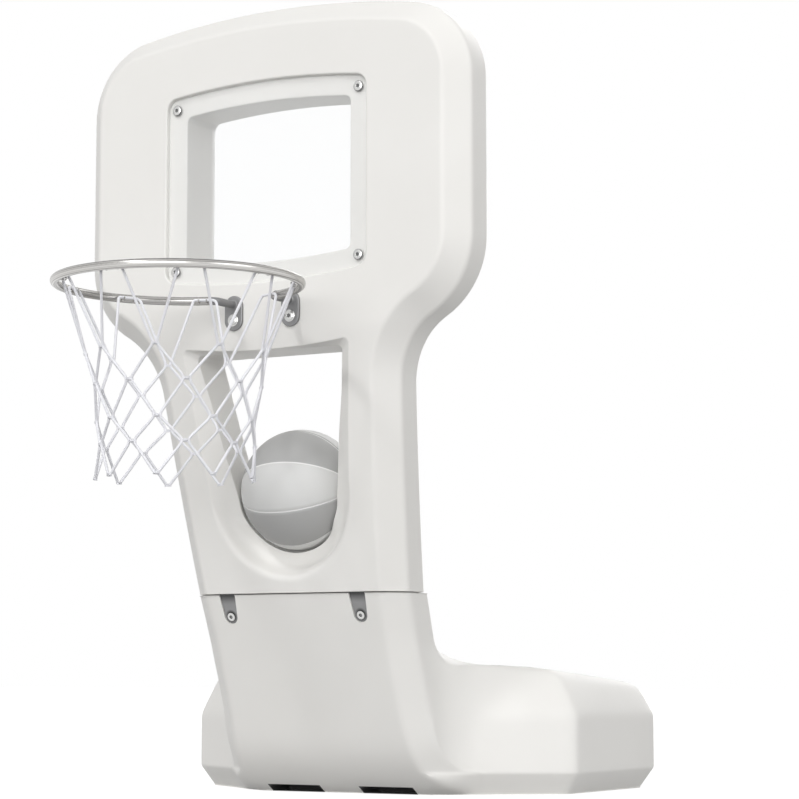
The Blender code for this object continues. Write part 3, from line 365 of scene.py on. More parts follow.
def tube(points, radius, sides=10):
    """Round bar along a line of points, carried along without twisting, its length in the UV map."""
    ahead = (points[1] - points[0]).normalized()
    side = ahead.orthogonal().normalized() if abs(ahead.z) > 0.9 else ahead.cross(UP).normalized()
    frames = []
    metres = [0.0]
    for i, point in enumerate(points):
        before = (point - points[i - 1]).normalized() if i else ahead
        after = (points[i + 1] - point).normalized() if i < len(points) - 1 else before
        along = (before + after).normalized()
        side = (side - along * side.dot(along)).normalized()
        frames.append((point, side, along.cross(side)))
        if i:
            metres.append(metres[-1] + (point - points[i - 1]).length)

    def place(column, row):
        point, across, up = frames[row]
        around = 2 * math.pi * column / sides
        return point + across * math.cos(around) * radius + up * math.sin(around) * radius

    return capped(mapped_grid(sides, len(points), place, True, metres))


def turned(profile, origin, axis, segments):
    """Open line of (radius, height) pairs, from axis to axis, turned round an axis through origin."""
    bm = bmesh.new()
    corners = [bm.verts.new((radius, 0, height)) for radius, height in profile]
    line = corners + [bm.edges.new(pair) for pair in zip(corners, corners[1:])]
    turn = {"cent": (0, 0, 0), "axis": UP, "angle": 2 * math.pi, "steps": segments}
    bmesh.ops.spin(bm, geom=line, use_merge=True, **turn)
    bmesh.ops.remove_doubles(bm, verts=bm.verts, dist=1e-6)
    return placed(bm, origin, axis)


def placed(bm, origin, axis):
    """Move a shape made round +Z to stand on origin along an axis."""
    turn = UP.rotation_difference(axis.normalized()).to_matrix().to_4x4()
    bmesh.ops.transform(bm, matrix=Matrix.Translation(origin) @ turn, verts=bm.verts)
    return faced_out(bm)


def bar(radius, start, end, segments=24):
    """Plain round bar, for cutting holes."""
    along = end - start
    profile = [(0, 0), (radius, 0), (radius, along.length), (0, along.length)]
    return turned(profile, start, along, segments)


def block(low, high):
    bm = bmesh.new()
    bmesh.ops.create_cube(bm, size=1.0)
    low = Vector(low)
    high = Vector(high)
    bmesh.ops.scale(bm, vec=high - low, verts=bm.verts)
    bmesh.ops.translate(bm, vec=(low + high) / 2, verts=bm.verts)
    return bm


def rounded(bm, offset):
    """Bevel every edge that turns by more than 30 degrees."""
    faced_out(bm)
    sharp = [edge for edge in bm.edges if edge.calc_face_angle(0.0) > math.radians(30)]
    shape = {"segments": 3, "profile": 0.5, "material": -1, "clamp_overlap": True}
    bmesh.ops.bevel(bm, geom=sharp, offset=offset, affect="EDGES", **shape)
    return bm


def linked(name, data):
    made = bpy.data.objects.new(name, data)
    bpy.context.scene.collection.objects.link(made)
    return made


def as_object(bm, name="scratch"):
    mesh = bpy.data.meshes.new(name)
    bm.to_mesh(mesh)
    bm.free()
    return linked(name, mesh)


def carved(bm, cutters, operation="DIFFERENCE"):
    """Cut separate solids out of a solid, or weld them on, in one boolean."""
    target = as_object(bm)
    cutter = as_object(join(cutters))
    modifier = target.modifiers.new("cut", "BOOLEAN")
    modifier.operation = operation
    modifier.solver = "EXACT"
    modifier.object = cutter
    result = bmesh.new()
    result.from_object(target, bpy.context.evaluated_depsgraph_get())
    for mesh in (target.data, cutter.data):
        bpy.data.meshes.remove(mesh, do_unlink=True)
    return result


def cut_level(bm, z, keep="both"):
    """Cut every face at a height and keep what is above, below or both."""
    clear = {"clear_inner": keep == "above", "clear_outer": keep == "below"}
    everything = bm.verts[:] + bm.edges[:] + bm.faces[:]
    bmesh.ops.bisect_plane(bm, geom=everything, dist=1e-6, plane_co=(0, 0, z), plane_no=UP, **clear)


def end_flat(bm, z, keep, radius):
    """Cut a moulding off at a height, round the edge there and close it."""
    cut_level(bm, z, keep)
    sign = 1 if keep == "above" else -1
    for share in (0.08, 0.28, 0.6, 1.0, 1.6):
        cut_level(bm, z + sign * radius * share)
    bm.normal_update()
    for vert in bm.verts:
        height = sign * (vert.co.z - z)
        if height < radius - 1e-7:
            inward = radius - math.sqrt(max(0.0, radius**2 - (radius - height) ** 2))
            vert.co -= Vector((vert.normal.x, vert.normal.y, 0)).normalized() * inward
    bmesh.ops.edgeloop_fill(bm, edges=open_edges(bm, 2, z))


def smoothstep(value):
    value = min(max(value, 0.0), 1.0)
    return value * value * (3 - 2 * value)


def between(knots, value):
    """Value read off a list of (position, value) pairs, the nearer end's value outside them."""
    for (start, low), (end, high) in zip(knots, knots[1:]):
        if (start <= value <= end) or (end <= value <= start):
            return low + (high - low) * (value - start) / (end - start)
    return min(knots[0], knots[-1], key=lambda knot: abs(value - knot[0]))[1]


def spaced(*stretches):
    """Positions along several stretches, given as (start, end, parts)."""
    spots = [stretches[0][0]]
    for start, end, parts in stretches:
        spots += [start + (end - start) * (i + 1) / parts for i in range(parts)]
    return spots


def arc(centre, radius, start, end, steps):
    turns = [start + (end - start) * i / steps for i in range(steps + 1)]
    return [(centre[0] + radius * math.cos(turn), centre[1] + radius * math.sin(turn)) for turn in turns]


def mirrored(right):
    """Closed outline from its right half, whose first and last points are on X = 0."""
    return right + [(-x, z) for x, z in reversed(right[1:-1])]


def at_depth(outline, depth):
    return [Vector((x, FACE_Y + depth, z)) for x, z in outline]


# Upper moulding


def upper_lean(z):
    """How far the upper moulding's front face has leaned back at a height."""
    below = BEND_TOP - z
    eased = (below + math.hypot(below, BEND_SOFTNESS)) / 2
    return LEAN_SLOPE * eased + LEAN_CURVE * eased * eased


def board_outline(inset):
    """Outline of board and column drawn in by an inset, from the foot on the right and round."""
    taper = math.atan(COLUMN_TAPER)
    hollow = (WAIST[0] + NECK_RADIUS * math.cos(taper), WAIST[1] - NECK_RADIUS * math.sin(taper))
    turn_x = hollow[0] - NECK_RADIUS * math.cos(NECK_ANGLE)
    turn_z = hollow[1] + NECK_RADIUS * math.sin(NECK_ANGLE)
    hip_radius = (BOARD_HALF - turn_x) / (1 - math.cos(NECK_ANGLE))
    hip = (BOARD_HALF - hip_radius, turn_z + hip_radius * math.sin(NECK_ANGLE))
    corner_x = BOARD_HALF - CORNER_RADIUS
    crown_z = BOARD_TOP - TOP_RADIUS
    corner_z = crown_z + math.sqrt((TOP_RADIUS - CORNER_RADIUS) ** 2 - corner_x**2)
    corner_end = math.atan2(corner_z - crown_z, corner_x)
    foot_x = WAIST[0] - inset * math.cos(taper)
    right = [(foot_x - COLUMN_TAPER * (WAIST[1] - z), z + inset * math.sin(taper)) for z in COLUMN_ROWS]
    right += arc(hollow, NECK_RADIUS + inset, math.pi - taper, math.pi - NECK_ANGLE, 14)
    right += arc(hip, hip_radius - inset, -NECK_ANGLE, 0, 14)[1:]
    right += arc((corner_x, corner_z), CORNER_RADIUS - inset, 0, corner_end, 18)
    right += arc((0, crown_z), TOP_RADIUS - inset, corner_end, math.pi / 2, 12)[1:]
    return right + [(-x, z) for x, z in reversed(right[:-1])]


def edge_strip():
    """The board's and column's edge, from the front face over both bevels to the rear face."""
    corners = [(EDGE_BEVEL + FACE_SUPPORT, 0.0), (EDGE_BEVEL, 0.0), (0.0, EDGE_BEVEL)]
    corners += [(inset, BOARD_DEPTH - depth) for inset, depth in reversed(corners)]
    rings = [at_depth(board_outline(inset), depth) for inset, depth in corners]
    return strip(rings, [EDGE_SOFT] * 4, closed=False)


def bowed_rectangle(half_w, half_h, corner):
    """Window outline: upright sides, top and bottom bowed outwards, rounded corners."""
    bow_z = WINDOW_Z + half_h - WINDOW_BOW
    inner_x = half_w - corner
    inner_z = bow_z + math.sqrt((WINDOW_BOW - corner) ** 2 - inner_x**2)
    corner_end = math.atan2(inner_z - bow_z, inner_x)
    quarter = arc((inner_x, inner_z), corner, 0, corner_end, 10)
    quarter += arc((0, bow_z), WINDOW_BOW, corner_end, math.pi / 2, 8)[1:]
    upper = quarter + [(-x, z) for x, z in reversed(quarter[:-1])]
    return upper + [(-x, 2 * WINDOW_Z - z) for x, z in upper]


def window_strip():
    """Recess for the pane, the ledge, the tunnel behind it and its flare at the back."""
    support = 0.008
    bend_depth, bend_flare = FLARE_BEND
    outer = (WINDOW_HALF_W, WINDOW_HALF_H, WINDOW_CORNER)
    inner = (WINDOW_HALF_W - LEDGE_W, WINDOW_HALF_H - LEDGE_W + 0.001, LEDGE_CORNER)
    corners = (
        (outer, support, 0.0),
        (outer, 0.0, 0.0),
        (outer, 0.0, LEDGE_DEPTH),
        (inner, 0.0, LEDGE_DEPTH),
        (inner, 0.0, TUNNEL_END),
        (inner, bend_flare, TUNNEL_END + bend_depth),
        (inner, REAR_FLARE, BOARD_DEPTH),
        (inner, REAR_FLARE + support, BOARD_DEPTH),
    )
    rings = []
    for sizes, grow, depth in corners:
        rings.append(at_depth(bowed_rectangle(*[size + grow for size in sizes]), depth))
    return strip(rings, WINDOW_SOFT)


def ball_outline(opening, grow=0.0):
    """Outline of the ball opening: straight leaning sides over a half-ellipse, top edge bowed down."""
    top_half, top_z, sag, hip_half, hip_z, low_z = opening
    top_half += grow
    top_z += grow
    hip_half += grow
    low_z -= grow
    corner = OPENING_CORNER + grow
    shares = [i / 8 for i in range(8)]
    right = [(share * (top_half - corner), top_z - sag * (1 - share**2)) for share in shares]
    right += arc((top_half - corner, top_z - corner), corner, math.pi / 2, 0, 6)
    for share in [i / 14 for i in range(1, 14)]:
        x = top_half + (hip_half - top_half) * share
        right.append((x, top_z - corner + (hip_z - top_z + corner) * share))
    for x, z in arc((0, 0), 1.0, 0, math.pi / 2, 18):
        right.append((hip_half * x, hip_z - (hip_z - low_z) * z))
    return mirrored(right)


def neck_depth(z):
    """Depth of the lip round the ball opening's neck at a height."""
    return NECK_NEAR + sum(deeper * smoothstep((top - z) / fall) for top, fall, deeper in LIP_STEPS)


def opening_strip():
    """Soft flare in front of the ball opening, its neck, and the flare behind."""

    def scooped(z):
        return smoothstep((SCOOP_FROM - z) / SCOOP_FALL)

    def softness(station):
        lower = scooped(front[station].z)
        return [soft + softer * lower for soft, softer in OPENING_SOFT]

    support = 0.022
    neck = ball_outline(OPENING_NECK)
    front = at_depth(ball_outline(OPENING_FRONT), 0.0)
    near = [Vector((x, FACE_Y + neck_depth(z), z)) for x, z in neck]
    scoop = []
    for outer, inner in zip(front, near):
        lower = scooped(outer.z)
        spot = outer.lerp(inner, 0.5 - SCOOP_OUT * lower)
        spot.y = outer.y + (inner.y - outer.y) * (0.5 + SCOOP_DEEPER * lower)
        scoop.append(spot)
    rings = [at_depth(ball_outline(OPENING_FRONT, support), 0.0), front, scoop, near]
    rings.append(at_depth(neck, NECK_FAR))
    rings += [at_depth(ball_outline(OPENING_REAR, grow), BOARD_DEPTH) for grow in (0.0, support)]
    return strip(rings, softness, 7)


def ball_centre():
    return Vector((0, FACE_Y + upper_lean(BALL_Z) + BALL_DEPTH, BALL_Z))


def ball_path():
    """Round-ended shaft that the ball sits in and lifts through."""
    radius = BALL_RADIUS + SEAT_GAP
    profile = arc((0, 0), radius, -math.pi / 2, 0, 24)
    profile[0] = (0, -radius)
    profile += [(radius, SEAT_TOP - BALL_Z), (0, SEAT_TOP - BALL_Z)]
    return turned(profile, ball_centre(), UP, 96)


def fill_face(bm, y):
    """Flat face at a depth, round the holes in it, closed along the foot."""
    edges = open_edges(bm, 1, y)
    low = min(vert.co.z for edge in edges for vert in edge.verts)
    feet = {vert for edge in edges for vert in edge.verts if vert.co.z < low + 1e-6}
    edges.append(bm.edges.new(list(feet)))
    bmesh.ops.triangle_fill(bm, edges=edges, use_beauty=True)


def insert_hole(point, out, ahead, deep):
    """Cutter for a threaded insert's hole, from ahead of a point to deep behind it."""
    return bar(INSERT_R + GAP, point + out * ahead, point - out * deep, 16)


def upper_moulding():
    bm = join([edge_strip(), window_strip(), opening_strip()])
    for depth in (0.0, BOARD_DEPTH):
        fill_face(bm, FACE_Y + depth)
    faced_out(bm)
    for z in spaced(*LEAN_ROWS):
        cut_level(bm, z)
    for vert in bm.verts:
        vert.co.y += upper_lean(vert.co.z)
    end_flat(bm, SEAM, "above", 0.0010)
    faced_out(bm)
    low = (-SPIGOT_HALF, SPIGOT_FRONT, SPIGOT_LOW)
    spigot = rounded(block(low, (SPIGOT_HALF, SPIGOT_REAR, SEAM + 0.012)), 0.006)
    bm = carved(bm, [spigot], "UNION")
    cutters = [ball_path()]
    for side in SIDES.values():
        cutters.append(tab_tongue(side * TAB_X, GAP))
        spot = Vector((side * BRACKET_X, FACE_Y, BRACKET_SCREW_Z))
        cutters.append(insert_hole(spot, FRONT, 0.01, PLATE_INSERT_DEEP))
    cutters += [insert_hole(point, FRONT, 0.01, PANE_INSERT_DEEP) for point in pane_screw_points()]
    return carved(bm, cutters)


def pane_screw_points():
    spots = [(side * PANE_SCREW_X, up * PANE_SCREW_Z) for up in (-1, 1) for side in (-1, 1)]
    return [Vector((x, FACE_Y, WINDOW_Z + z)) for x, z in spots]


# Lower moulding


def lower_front(z):
    """Y of the lower moulding's front face, which curls under at the toe."""
    toe = max(0.0, TOE_START - z)
    return FACE_Y + upper_lean(SEAM) + LOWER_SLOPE * (SEAM - z) + TOE_CURVE * toe**3


def lower_plan(z):
    """Front face half width, bevel edge half width and bevel edge Y at a height."""
    narrowed = smoothstep((SEAM - z) / COLLAR_SPAN)
    spread = max(0.0, SPREAD_FROM - z) ** 2
    face = LOWER_FACE_HALF - COLLAR_IN[0] * narrowed + SPREAD[0] * spread
    edge = LOWER_HALF - COLLAR_IN[1] * narrowed + SPREAD[1] * spread
    return face, edge, lower_front(z) + FRONT_BEVEL


def base_segments():
    """Right half of the base's plan as (length, turn): hollow, diagonal, corner, side, corner, rear."""
    hollow_x = OUTLINE_START[0] + HOLLOW_RADIUS * (1 - math.cos(DIAGONAL_TURN))
    hollow_y = OUTLINE_START[1] + HOLLOW_RADIUS * math.sin(DIAGONAL_TURN)
    corner_y = hollow_y + (BASE_HALF - hollow_x) / math.tan(DIAGONAL_TURN)
    lead = SIDE_CORNER * math.tan(DIAGONAL_TURN / 2)
    diagonal = (BASE_HALF - hollow_x) / math.sin(DIAGONAL_TURN) - lead
    return (
        (HOLLOW_RADIUS * DIAGONAL_TURN, DIAGONAL_TURN),
        (diagonal, 0.0),
        (SIDE_CORNER * DIAGONAL_TURN, -DIAGONAL_TURN),
        (BASE_REAR - REAR_CORNER - corner_y - lead, 0.0),
        (REAR_CORNER * math.pi / 2, -math.pi / 2),
        (BASE_HALF - REAR_CORNER, 0.0),
    )


def base_outline(run):
    """Point and heading, measured from +Y, after a run along the base's plan."""
    x, y = OUTLINE_START
    heading = 0.0
    for length, turn in base_segments():
        step = min(run, length)
        if turn:
            radius = length / turn
            ahead = heading + step / radius
            x += radius * (math.cos(heading) - math.cos(ahead))
            y += radius * (math.sin(ahead) - math.sin(heading))
            heading = ahead
        else:
            x += step * math.sin(heading)
            y += step * math.cos(heading)
        run -= step
        if run <= 0:
            break
    return Vector((x, y)), heading


def base_runs():
    """Runs along the base's plan at whole stations."""
    lengths = [length for length, _ in base_segments()]
    reached = lengths[0]
    runs = [0.0, reached / 6, reached * 0.37, reached * 0.66, reached]
    for length, parts in zip(lengths[1:], (3, 2, 3, 4, 3)):
        runs += [reached + length * (i + 1) / parts for i in range(parts)]
        reached += length
    return runs


# Stations of the base's plan that lead to the rear end of the column's side and to its rear corner
SIDE_STATION = 3
REAR_STATION = 8
RUNS = base_runs()
LAST = len(RUNS) - 1
RUN_KNOTS = list(enumerate(RUNS))


def inward(run):
    """Direction into the base from its plan, averaged so that corners do not pinch."""
    total = Vector((0, 0))
    for offset in (-0.06, -0.03, 0.0, 0.03, 0.06):
        _, heading = base_outline(max(0.0, run + offset))
        total += Vector((-math.cos(heading), math.sin(heading)))
    return total.normalized()


def column_station(z, index):
    """Point of the column's plan that a station of the base's plan leads to."""
    face, edge, edge_y = lower_plan(z)
    side_rear = edge_y + SIDE_DEPTH
    rear = lower_front(z) + BOARD_DEPTH
    if index <= SIDE_STATION:
        return Vector((edge, edge_y + (side_rear - edge_y) * index / SIDE_STATION))
    if index <= REAR_STATION:
        share = (index - SIDE_STATION) / (REAR_STATION - SIDE_STATION)
        return Vector((edge, side_rear)).lerp(Vector((face, rear)), share)
    return Vector((face * (1 - (index - REAR_STATION) / (LAST - REAR_STATION)), rear))


def top_path(index):
    """Points over the base's top from the column out to the edge, square to the edge."""
    run = between(RUN_KNOTS, index)
    start = column_station(SWEEP_TOP, index)
    end = base_outline(run)[0]
    span = (end - start).length
    eased = smoothstep((index - SIDE_STATION) / 2)
    leave = min(PATH_SHARE * span, PATH_LEAVE) * eased
    arrive = min(PATH_SHARE * span, PATH_ARRIVE) * eased
    knots = (start, start + Vector((0, 1)) * leave, end + inward(run) * arrive, end)
    return interpolate_bezier(*knots, 25)


def along(path, run):
    for before, after in zip(path, path[1:]):
        length = (after - before).length
        if run <= length:
            return before.lerp(after, run / length)
        run -= length
    return path[-1].copy()


def base_top(y):
    return TOP_NEAR - TOP_FALL * max(0.0, y - TOP_FALL_FROM)


def front_point(z, column):
    """Point across the right half of the front face, at whole columns 0 to 3; its edge curls at the toe."""
    face, _, _ = lower_plan(z)
    front = lower_front(z)
    curl = max(0.0, 1 - z / CURL_FROM)
    flat = face - FLAT_IN - CURL_IN * curl
    edge_x = face + CURL_BULGE * curl * (1 - curl) + CURL_OUT * curl
    edge_y = front + CURL_BACK * curl**3
    x = between(((0, 0), (2, flat), (3, edge_x)), column)
    y = between(((0, front), (2, front), (3, edge_y)), column)
    return Vector((x, y, z))


def sweep_point(index, row, path):
    """Point on the way from the column's foot over the base's top to its upright band."""
    length = sum((b - a).length for a, b in zip(path, path[1:]))
    reach = min(SWEEP_REACH, 0.6 * length)
    edge_in = min(EDGE_IN, PATH_SHARE * length)
    distances = [reach * step for step in NEAR_STEPS] + [(reach + length - edge_in) / 2]
    distances += [length - edge_in * step for step in EDGE_STEPS]
    u = between(list(enumerate(distances)), row)
    spot = along(path, u)
    even_z = SWEEP_TOP + (BAND_HIGH - SWEEP_TOP) * row / SWEEP_ROWS
    top = base_top(spot.y)
    fall = max(0.0, 1 - u / reach) ** 2
    into = min(1.0, max(0.0, (u - length + edge_in) / edge_in))
    edge = (1 - into**EDGE_POWER) ** (1 / EDGE_POWER)
    shaped_z = BAND_HIGH + (top - BAND_HIGH) * edge + (SWEEP_TOP - top) * fall
    z = even_z + (shaped_z - even_z) * smoothstep((index - 1) / 3)
    run = between(RUN_KNOTS, index)
    near = max(0.0, 1 - abs(run - RUNS[REAR_STATION]) / SHOULDER_REACH)
    spot += inward(run) * SHOULDER_CUT * near * near * smoothstep((SWEEP_ROWS - row) / 3.5)
    return Vector((spot.x, spot.y, z))


def side_point(level, index):
    """Point of the lower moulding's side, at a level ("column", z), ("sweep", row) or ("band", z)."""
    part, value = level
    if part == "column":
        spot = column_station(value, index)
        return Vector((spot.x, spot.y, value))
    if part == "sweep":
        if index >= 1:
            return sweep_point(index, value, top_path(index))
        z = level_height(level)
        _, edge, edge_y = lower_plan(z)
        return Vector((edge, edge_y, z)).lerp(sweep_point(1, value, top_path(1)), index)
    run = between(RUN_KNOTS, index)
    swing = SWINGS[-1][1] if value < BAND_LOW else between(SWINGS, value)
    reached = max(run, swing + 0.012 * index)
    inset = FOOT_INSET * max(0.0, 1 - value / BAND_LOW)
    point = base_outline(reached)[0] + inward(reached) * inset
    if index == LAST:
        point.x = 0.0
    return Vector((point.x, point.y, value))


def level_height(level):
    part, value = level
    if part == "sweep":
        return SWEEP_TOP + (BAND_HIGH - SWEEP_TOP) * value / SWEEP_ROWS
    return value


def lower_point(level, column):
    """Point of the lower moulding's right half: front face, bevel, then the stations of the side."""
    z = level_height(level)
    if column <= 3:
        return front_point(z, column)
    if column < 4:
        return front_point(z, 3).lerp(side_point(level, 0), column - 3)
    return side_point(level, column - 4)


def lower_body():
    """The lower moulding before its fittings: one fine grid from above its top edge to below the floor."""
    columns = spaced((0, 2, 12), (2, 3, 3), (3, 4, 7), (4, 7, 10), (7, 8, 5), (8, 11, 14))
    columns += spaced((11, 13, 6), (13, 16, 20), (16, 20, 14), (20, 4 + LAST, 12))[1:]
    levels = [("column", z) for z in spaced((0.402, SWEEP_TOP, 14))]
    levels += [("sweep", row) for row in spaced((0, 5, 20), (5, 7, 8), (7, SWEEP_ROWS, 16))[1:]]
    crisp = 0.012
    heights = spaced((BAND_HIGH, BAND_LOW + crisp, 12), (BAND_LOW + crisp, BAND_LOW, 5))
    heights += spaced((BAND_LOW, BAND_LOW - crisp, 5), (BAND_LOW - crisp, -0.014, 7))[1:]
    levels += [("band", z) for z in heights[1:]]
    half = [[lower_point(level, column) for column in columns] for level in levels]
    mirror = Vector((-1, 1, 1))
    rows = [row + [point * mirror for point in reversed(row[1:-1])] for row in half]
    bm = mapped_grid(len(rows[0]), len(rows), lambda column, row: rows[row][column], True)
    inner = [vert for vert in bm.verts if not vert.is_boundary]
    low, high = SHOULDER_SPAN
    shoulder = [vert for vert in inner if low < vert.co.z < high and abs(vert.co.x) > SHOULDER_BESIDE]
    axes = {"use_axis_x": True, "use_axis_y": True, "use_axis_z": True}
    for verts, times in ((shoulder, 14), (inner, 4)):
        for _ in range(times):
            bmesh.ops.smooth_vert(bm, verts=verts, factor=0.5, **axes)
    return bm


def tab_slab(x_centre, grow, near, far):
    """Tapered slab with a round lower end, between two depths behind the sloping front face."""
    mouth = TAB_TOP_W / 2 + grow
    outline = arc((0, TAB_SCREW_Z), TAB_LOW_W / 2 + grow, math.pi, 2 * math.pi, 20)
    outline += [(mouth, LOWER_TOP), (-mouth, LOWER_TOP)]
    rings = [[Vector((x_centre + x, lower_front(z) + depth, z)) for x, z in outline] for depth in (near, far)]
    return capped(strip(rings, ()))


def tab_tongue(x_centre, grow):
    """Upright upper end of a tab, which slides into the upper moulding."""
    face = lower_front(LOWER_TOP)
    half = TAB_TOP_W / 2 + grow
    low = (x_centre - half, face + TAB_RECESS - TAB_THICK - GAP - grow, LOWER_TOP - 0.0005)
    return block(low, (x_centre + half, face + TAB_RECESS - GAP + grow, LOWER_TOP + TAB_TONGUE + grow))


def seam_screw_seat(side):
    """Point on the floor of a tab's recess and the direction out of it."""
    point = Vector((side * TAB_X, lower_front(TAB_SCREW_Z) + TAB_RECESS, TAB_SCREW_Z))
    return point, Vector((0, -1, -LOWER_SLOPE)).normalized()


def port_floor(port):
    """Middle of the floor of a port's well."""
    if port.out == UP:
        return Vector((port.x, port.y, base_top(port.y) - port.sunk))
    return Vector((port.x, BASE_REAR - port.sunk, port.z))


def lower_moulding():
    bm = lower_body()
    end_flat(bm, LOWER_TOP, "below", 0.0026)
    end_flat(bm, 0.0, "above", 0.0025)
    faced_out(bm)
    low = (-SPIGOT_HALF - SPIGOT_CLEAR, SPIGOT_FRONT - SPIGOT_CLEAR, SPIGOT_LOW - SPIGOT_CLEAR)
    cutters = [block(low, (SPIGOT_HALF + SPIGOT_CLEAR, SPIGOT_REAR + SPIGOT_CLEAR, SEAM + 0.02))]
    for side in SIDES.values():
        cutters.append(tab_slab(side * TAB_X, TAB_CLEAR, -0.012, TAB_RECESS))
        cutters.append(insert_hole(*seam_screw_seat(side), -0.0001, SEAM_INSERT_DEEP))
        low = (side * NOTCH_X - NOTCH_HALF, FACE_Y + 0.15, -0.01)
        cutters.append(rounded(block(low, (side * NOTCH_X + NOTCH_HALF, NOTCH_REAR, NOTCH_HIGH)), 0.006))
    bm = carved(bm, cutters)
    for port in (FILLER, DRAIN):
        floor = port_floor(port)
        bm = carved(bm, [bar(port.well, floor, floor + port.out * 0.2, 64)])
        inside = floor - port.out * (port.neck_long + 0.004)
        bm = carved(bm, [bar(port.neck + 2 * GAP, inside, floor + port.out * 0.01, 48)])
    return bm


# Pane, rim, brackets and net


def clear_pane():
    near = LEDGE_DEPTH - GAP - PANE_THICK
    far = LEDGE_DEPTH - GAP
    rings = []
    for inset, depth in ((PANE_RIM, near), (0.0, near), (0.0, far), (PANE_RIM, far)):
        draw = PANE_GAP + inset
        outline = bowed_rectangle(WINDOW_HALF_W - draw, WINDOW_HALF_H - draw, WINDOW_CORNER - draw)
        rings.append(at_depth(outline, depth))
    parts = [strip(rings, (PANE_SOFT, PANE_SOFT), 3)]
    for point in pane_screw_points():
        circle = arc((point.x, point.z), SCREW_BORE, 0, 2 * math.pi, 20)[:-1]
        parts.append(strip([at_depth(circle, depth) for depth in (near, far)], ()))
    bm = join(parts)
    for depth in (near, far):
        bmesh.ops.triangle_fill(bm, edges=open_edges(bm, 1, FACE_Y + depth), use_beauty=True)
    return faced_out(bm)


def round_rim(angle, radius, z=RIM_Z):
    """Point at an angle round the rim's axis."""
    return Vector((radius * math.cos(angle), FACE_Y - RIM_REACH + radius * math.sin(angle), z))


def hook(angle):
    """Wire hook welded inside the rim, under the net's cord and up in front of it."""
    low_z = RIM_Z - NET_CORD / 2 - 3 * GAP - HOOK_WIRE
    near = RIM_RADIUS - RIM_TUBE - NET_CORD - 2 * NET_CLEAR - HOOK_WIRE
    corners = [round_rim(angle, RIM_RADIUS - RIM_TUBE / 3, low_z), round_rim(angle, near, low_z)]
    corners.append(round_rim(angle, near, RIM_Z + 0.001))
    return tube(soft_path(corners, [0.0016], 3), HOOK_WIRE, 6)


def rim_end(side):
    """Middle of one of the rim's open ends, and the way the bracket's tube leaves it."""
    spot = round_rim(math.pi / 2 - side * RIM_OPEN, RIM_RADIUS)
    return spot, Vector((-side * math.cos(RIM_OPEN), math.sin(RIM_OPEN), 0))


def hook_angles():
    """Two hooks under each of the net's loops, none of them past the rim's open ends."""
    angles = []
    for loop in range(NET_LOOPS):
        for side in (-1, 1):
            past_back = NET_PHASE + NET_STEP * loop + side * LOOP_HALF_ANGLE * HOOK_SPREAD - math.pi / 2
            if abs(past_back) < RIM_OPEN + HOOK_FROM_END:
                past_back = math.copysign(RIM_OPEN + HOOK_FROM_END, past_back)
            angles.append(past_back + math.pi / 2)
    return angles


def rim():
    """Bent tube from its left end, round the front, to its right end, with the net's hooks."""
    start = math.pi / 2 + RIM_OPEN
    sweep = 2 * (math.pi - RIM_OPEN)
    path = [round_rim(start + sweep * i / 116, RIM_RADIUS) for i in range(117)]
    left, right = [spot - leaving * SQUARE_END for spot, leaving in (rim_end(-1), rim_end(1))]
    path = path[:1] + [left] + path[1:-1] + [right] + path[-1:]
    return join([tube(path, RIM_TUBE, 24)] + [hook(angle) for angle in hook_angles()])


def elbow_path(side):
    """From the rim's open end, round the bend, and straight back to the plate."""
    spot, leaving = rim_end(side)
    radius = (abs(spot.x) - BRACKET_X) / (1 - math.sin(RIM_OPEN))
    middle = (abs(spot.x) + radius * math.sin(RIM_OPEN), spot.y + radius * math.cos(RIM_OPEN))
    bend = arc(middle, radius, -math.pi / 2 - RIM_OPEN, -math.pi, 18)[1:]
    path = [spot + leaving * GAP, spot + leaving * SQUARE_END]
    path += [Vector((side * x, y, RIM_Z)) for x, y in bend]
    return path + [Vector((side * BRACKET_X, FACE_Y - 0.002, RIM_Z))]


def weld(centre, across, bead):
    """Bead of weld round the arm, in the upright plane of a level direction."""
    through = across.cross(UP)

    def place(column, row):
        turn = 2 * math.pi * row / 32
        around = 2 * math.pi * column / 8
        out = across * math.cos(turn) + UP * math.sin(turn)
        return centre + out * (ARM_RADIUS + bead * math.sin(around)) + through * bead * math.cos(around)

    return faced_out(mapped_grid(8, 33, place, True))


def bracket(side):
    """Obround plate on the face, a bent tube arm to the rim's end and the welds at its two ends."""
    x = side * BRACKET_X
    rings = []
    for draw, depth in ((0.0, GAP), (0.0, PLATE_THICK), (0.006, PLATE_THICK)):
        half = PLATE_W / 2 - draw
        outline = arc((x, BRACKET_SCREW_Z), half, math.pi, 2 * math.pi, 20)
        outline += arc((x, PLATE_TOP_Z - PLATE_W / 2), half, 0, math.pi, 20)
        rings.append(at_depth(outline, -depth))
    plate = capped(strip(rings, [0.0024], 4))
    spot = Vector((x, FACE_Y, BRACKET_SCREW_Z))
    plate = carved(plate, [bar(SCREW_BORE, spot + FRONT * 0.02, spot + BACK * 0.01, 24)])
    end, leaving = rim_end(side)
    welds = [weld(Vector((x, FACE_Y - PLATE_THICK, RIM_Z)), RIGHT, PLATE_BEAD)]
    welds.append(weld(end, leaving.cross(UP), RIM_BEAD))
    return join([plate, tube(elbow_path(side), ARM_RADIUS, 32)] + welds)


def raised_washer(side):
    """Domed ring between the bracket plate and its screw."""
    seat = Vector((side * BRACKET_X, FACE_Y - PLATE_THICK - GAP, BRACKET_SCREW_Z))
    profile = [(SCREW_BORE, 0), (WASHER_R, 0), (WASHER_R, WASHER_HIGH * 0.45)]
    profile += [(WASHER_R - 0.0012, WASHER_HIGH), (SCREW_BORE, WASHER_HIGH), (SCREW_BORE, 0)]
    return turned(profile, seat, FRONT, 40)


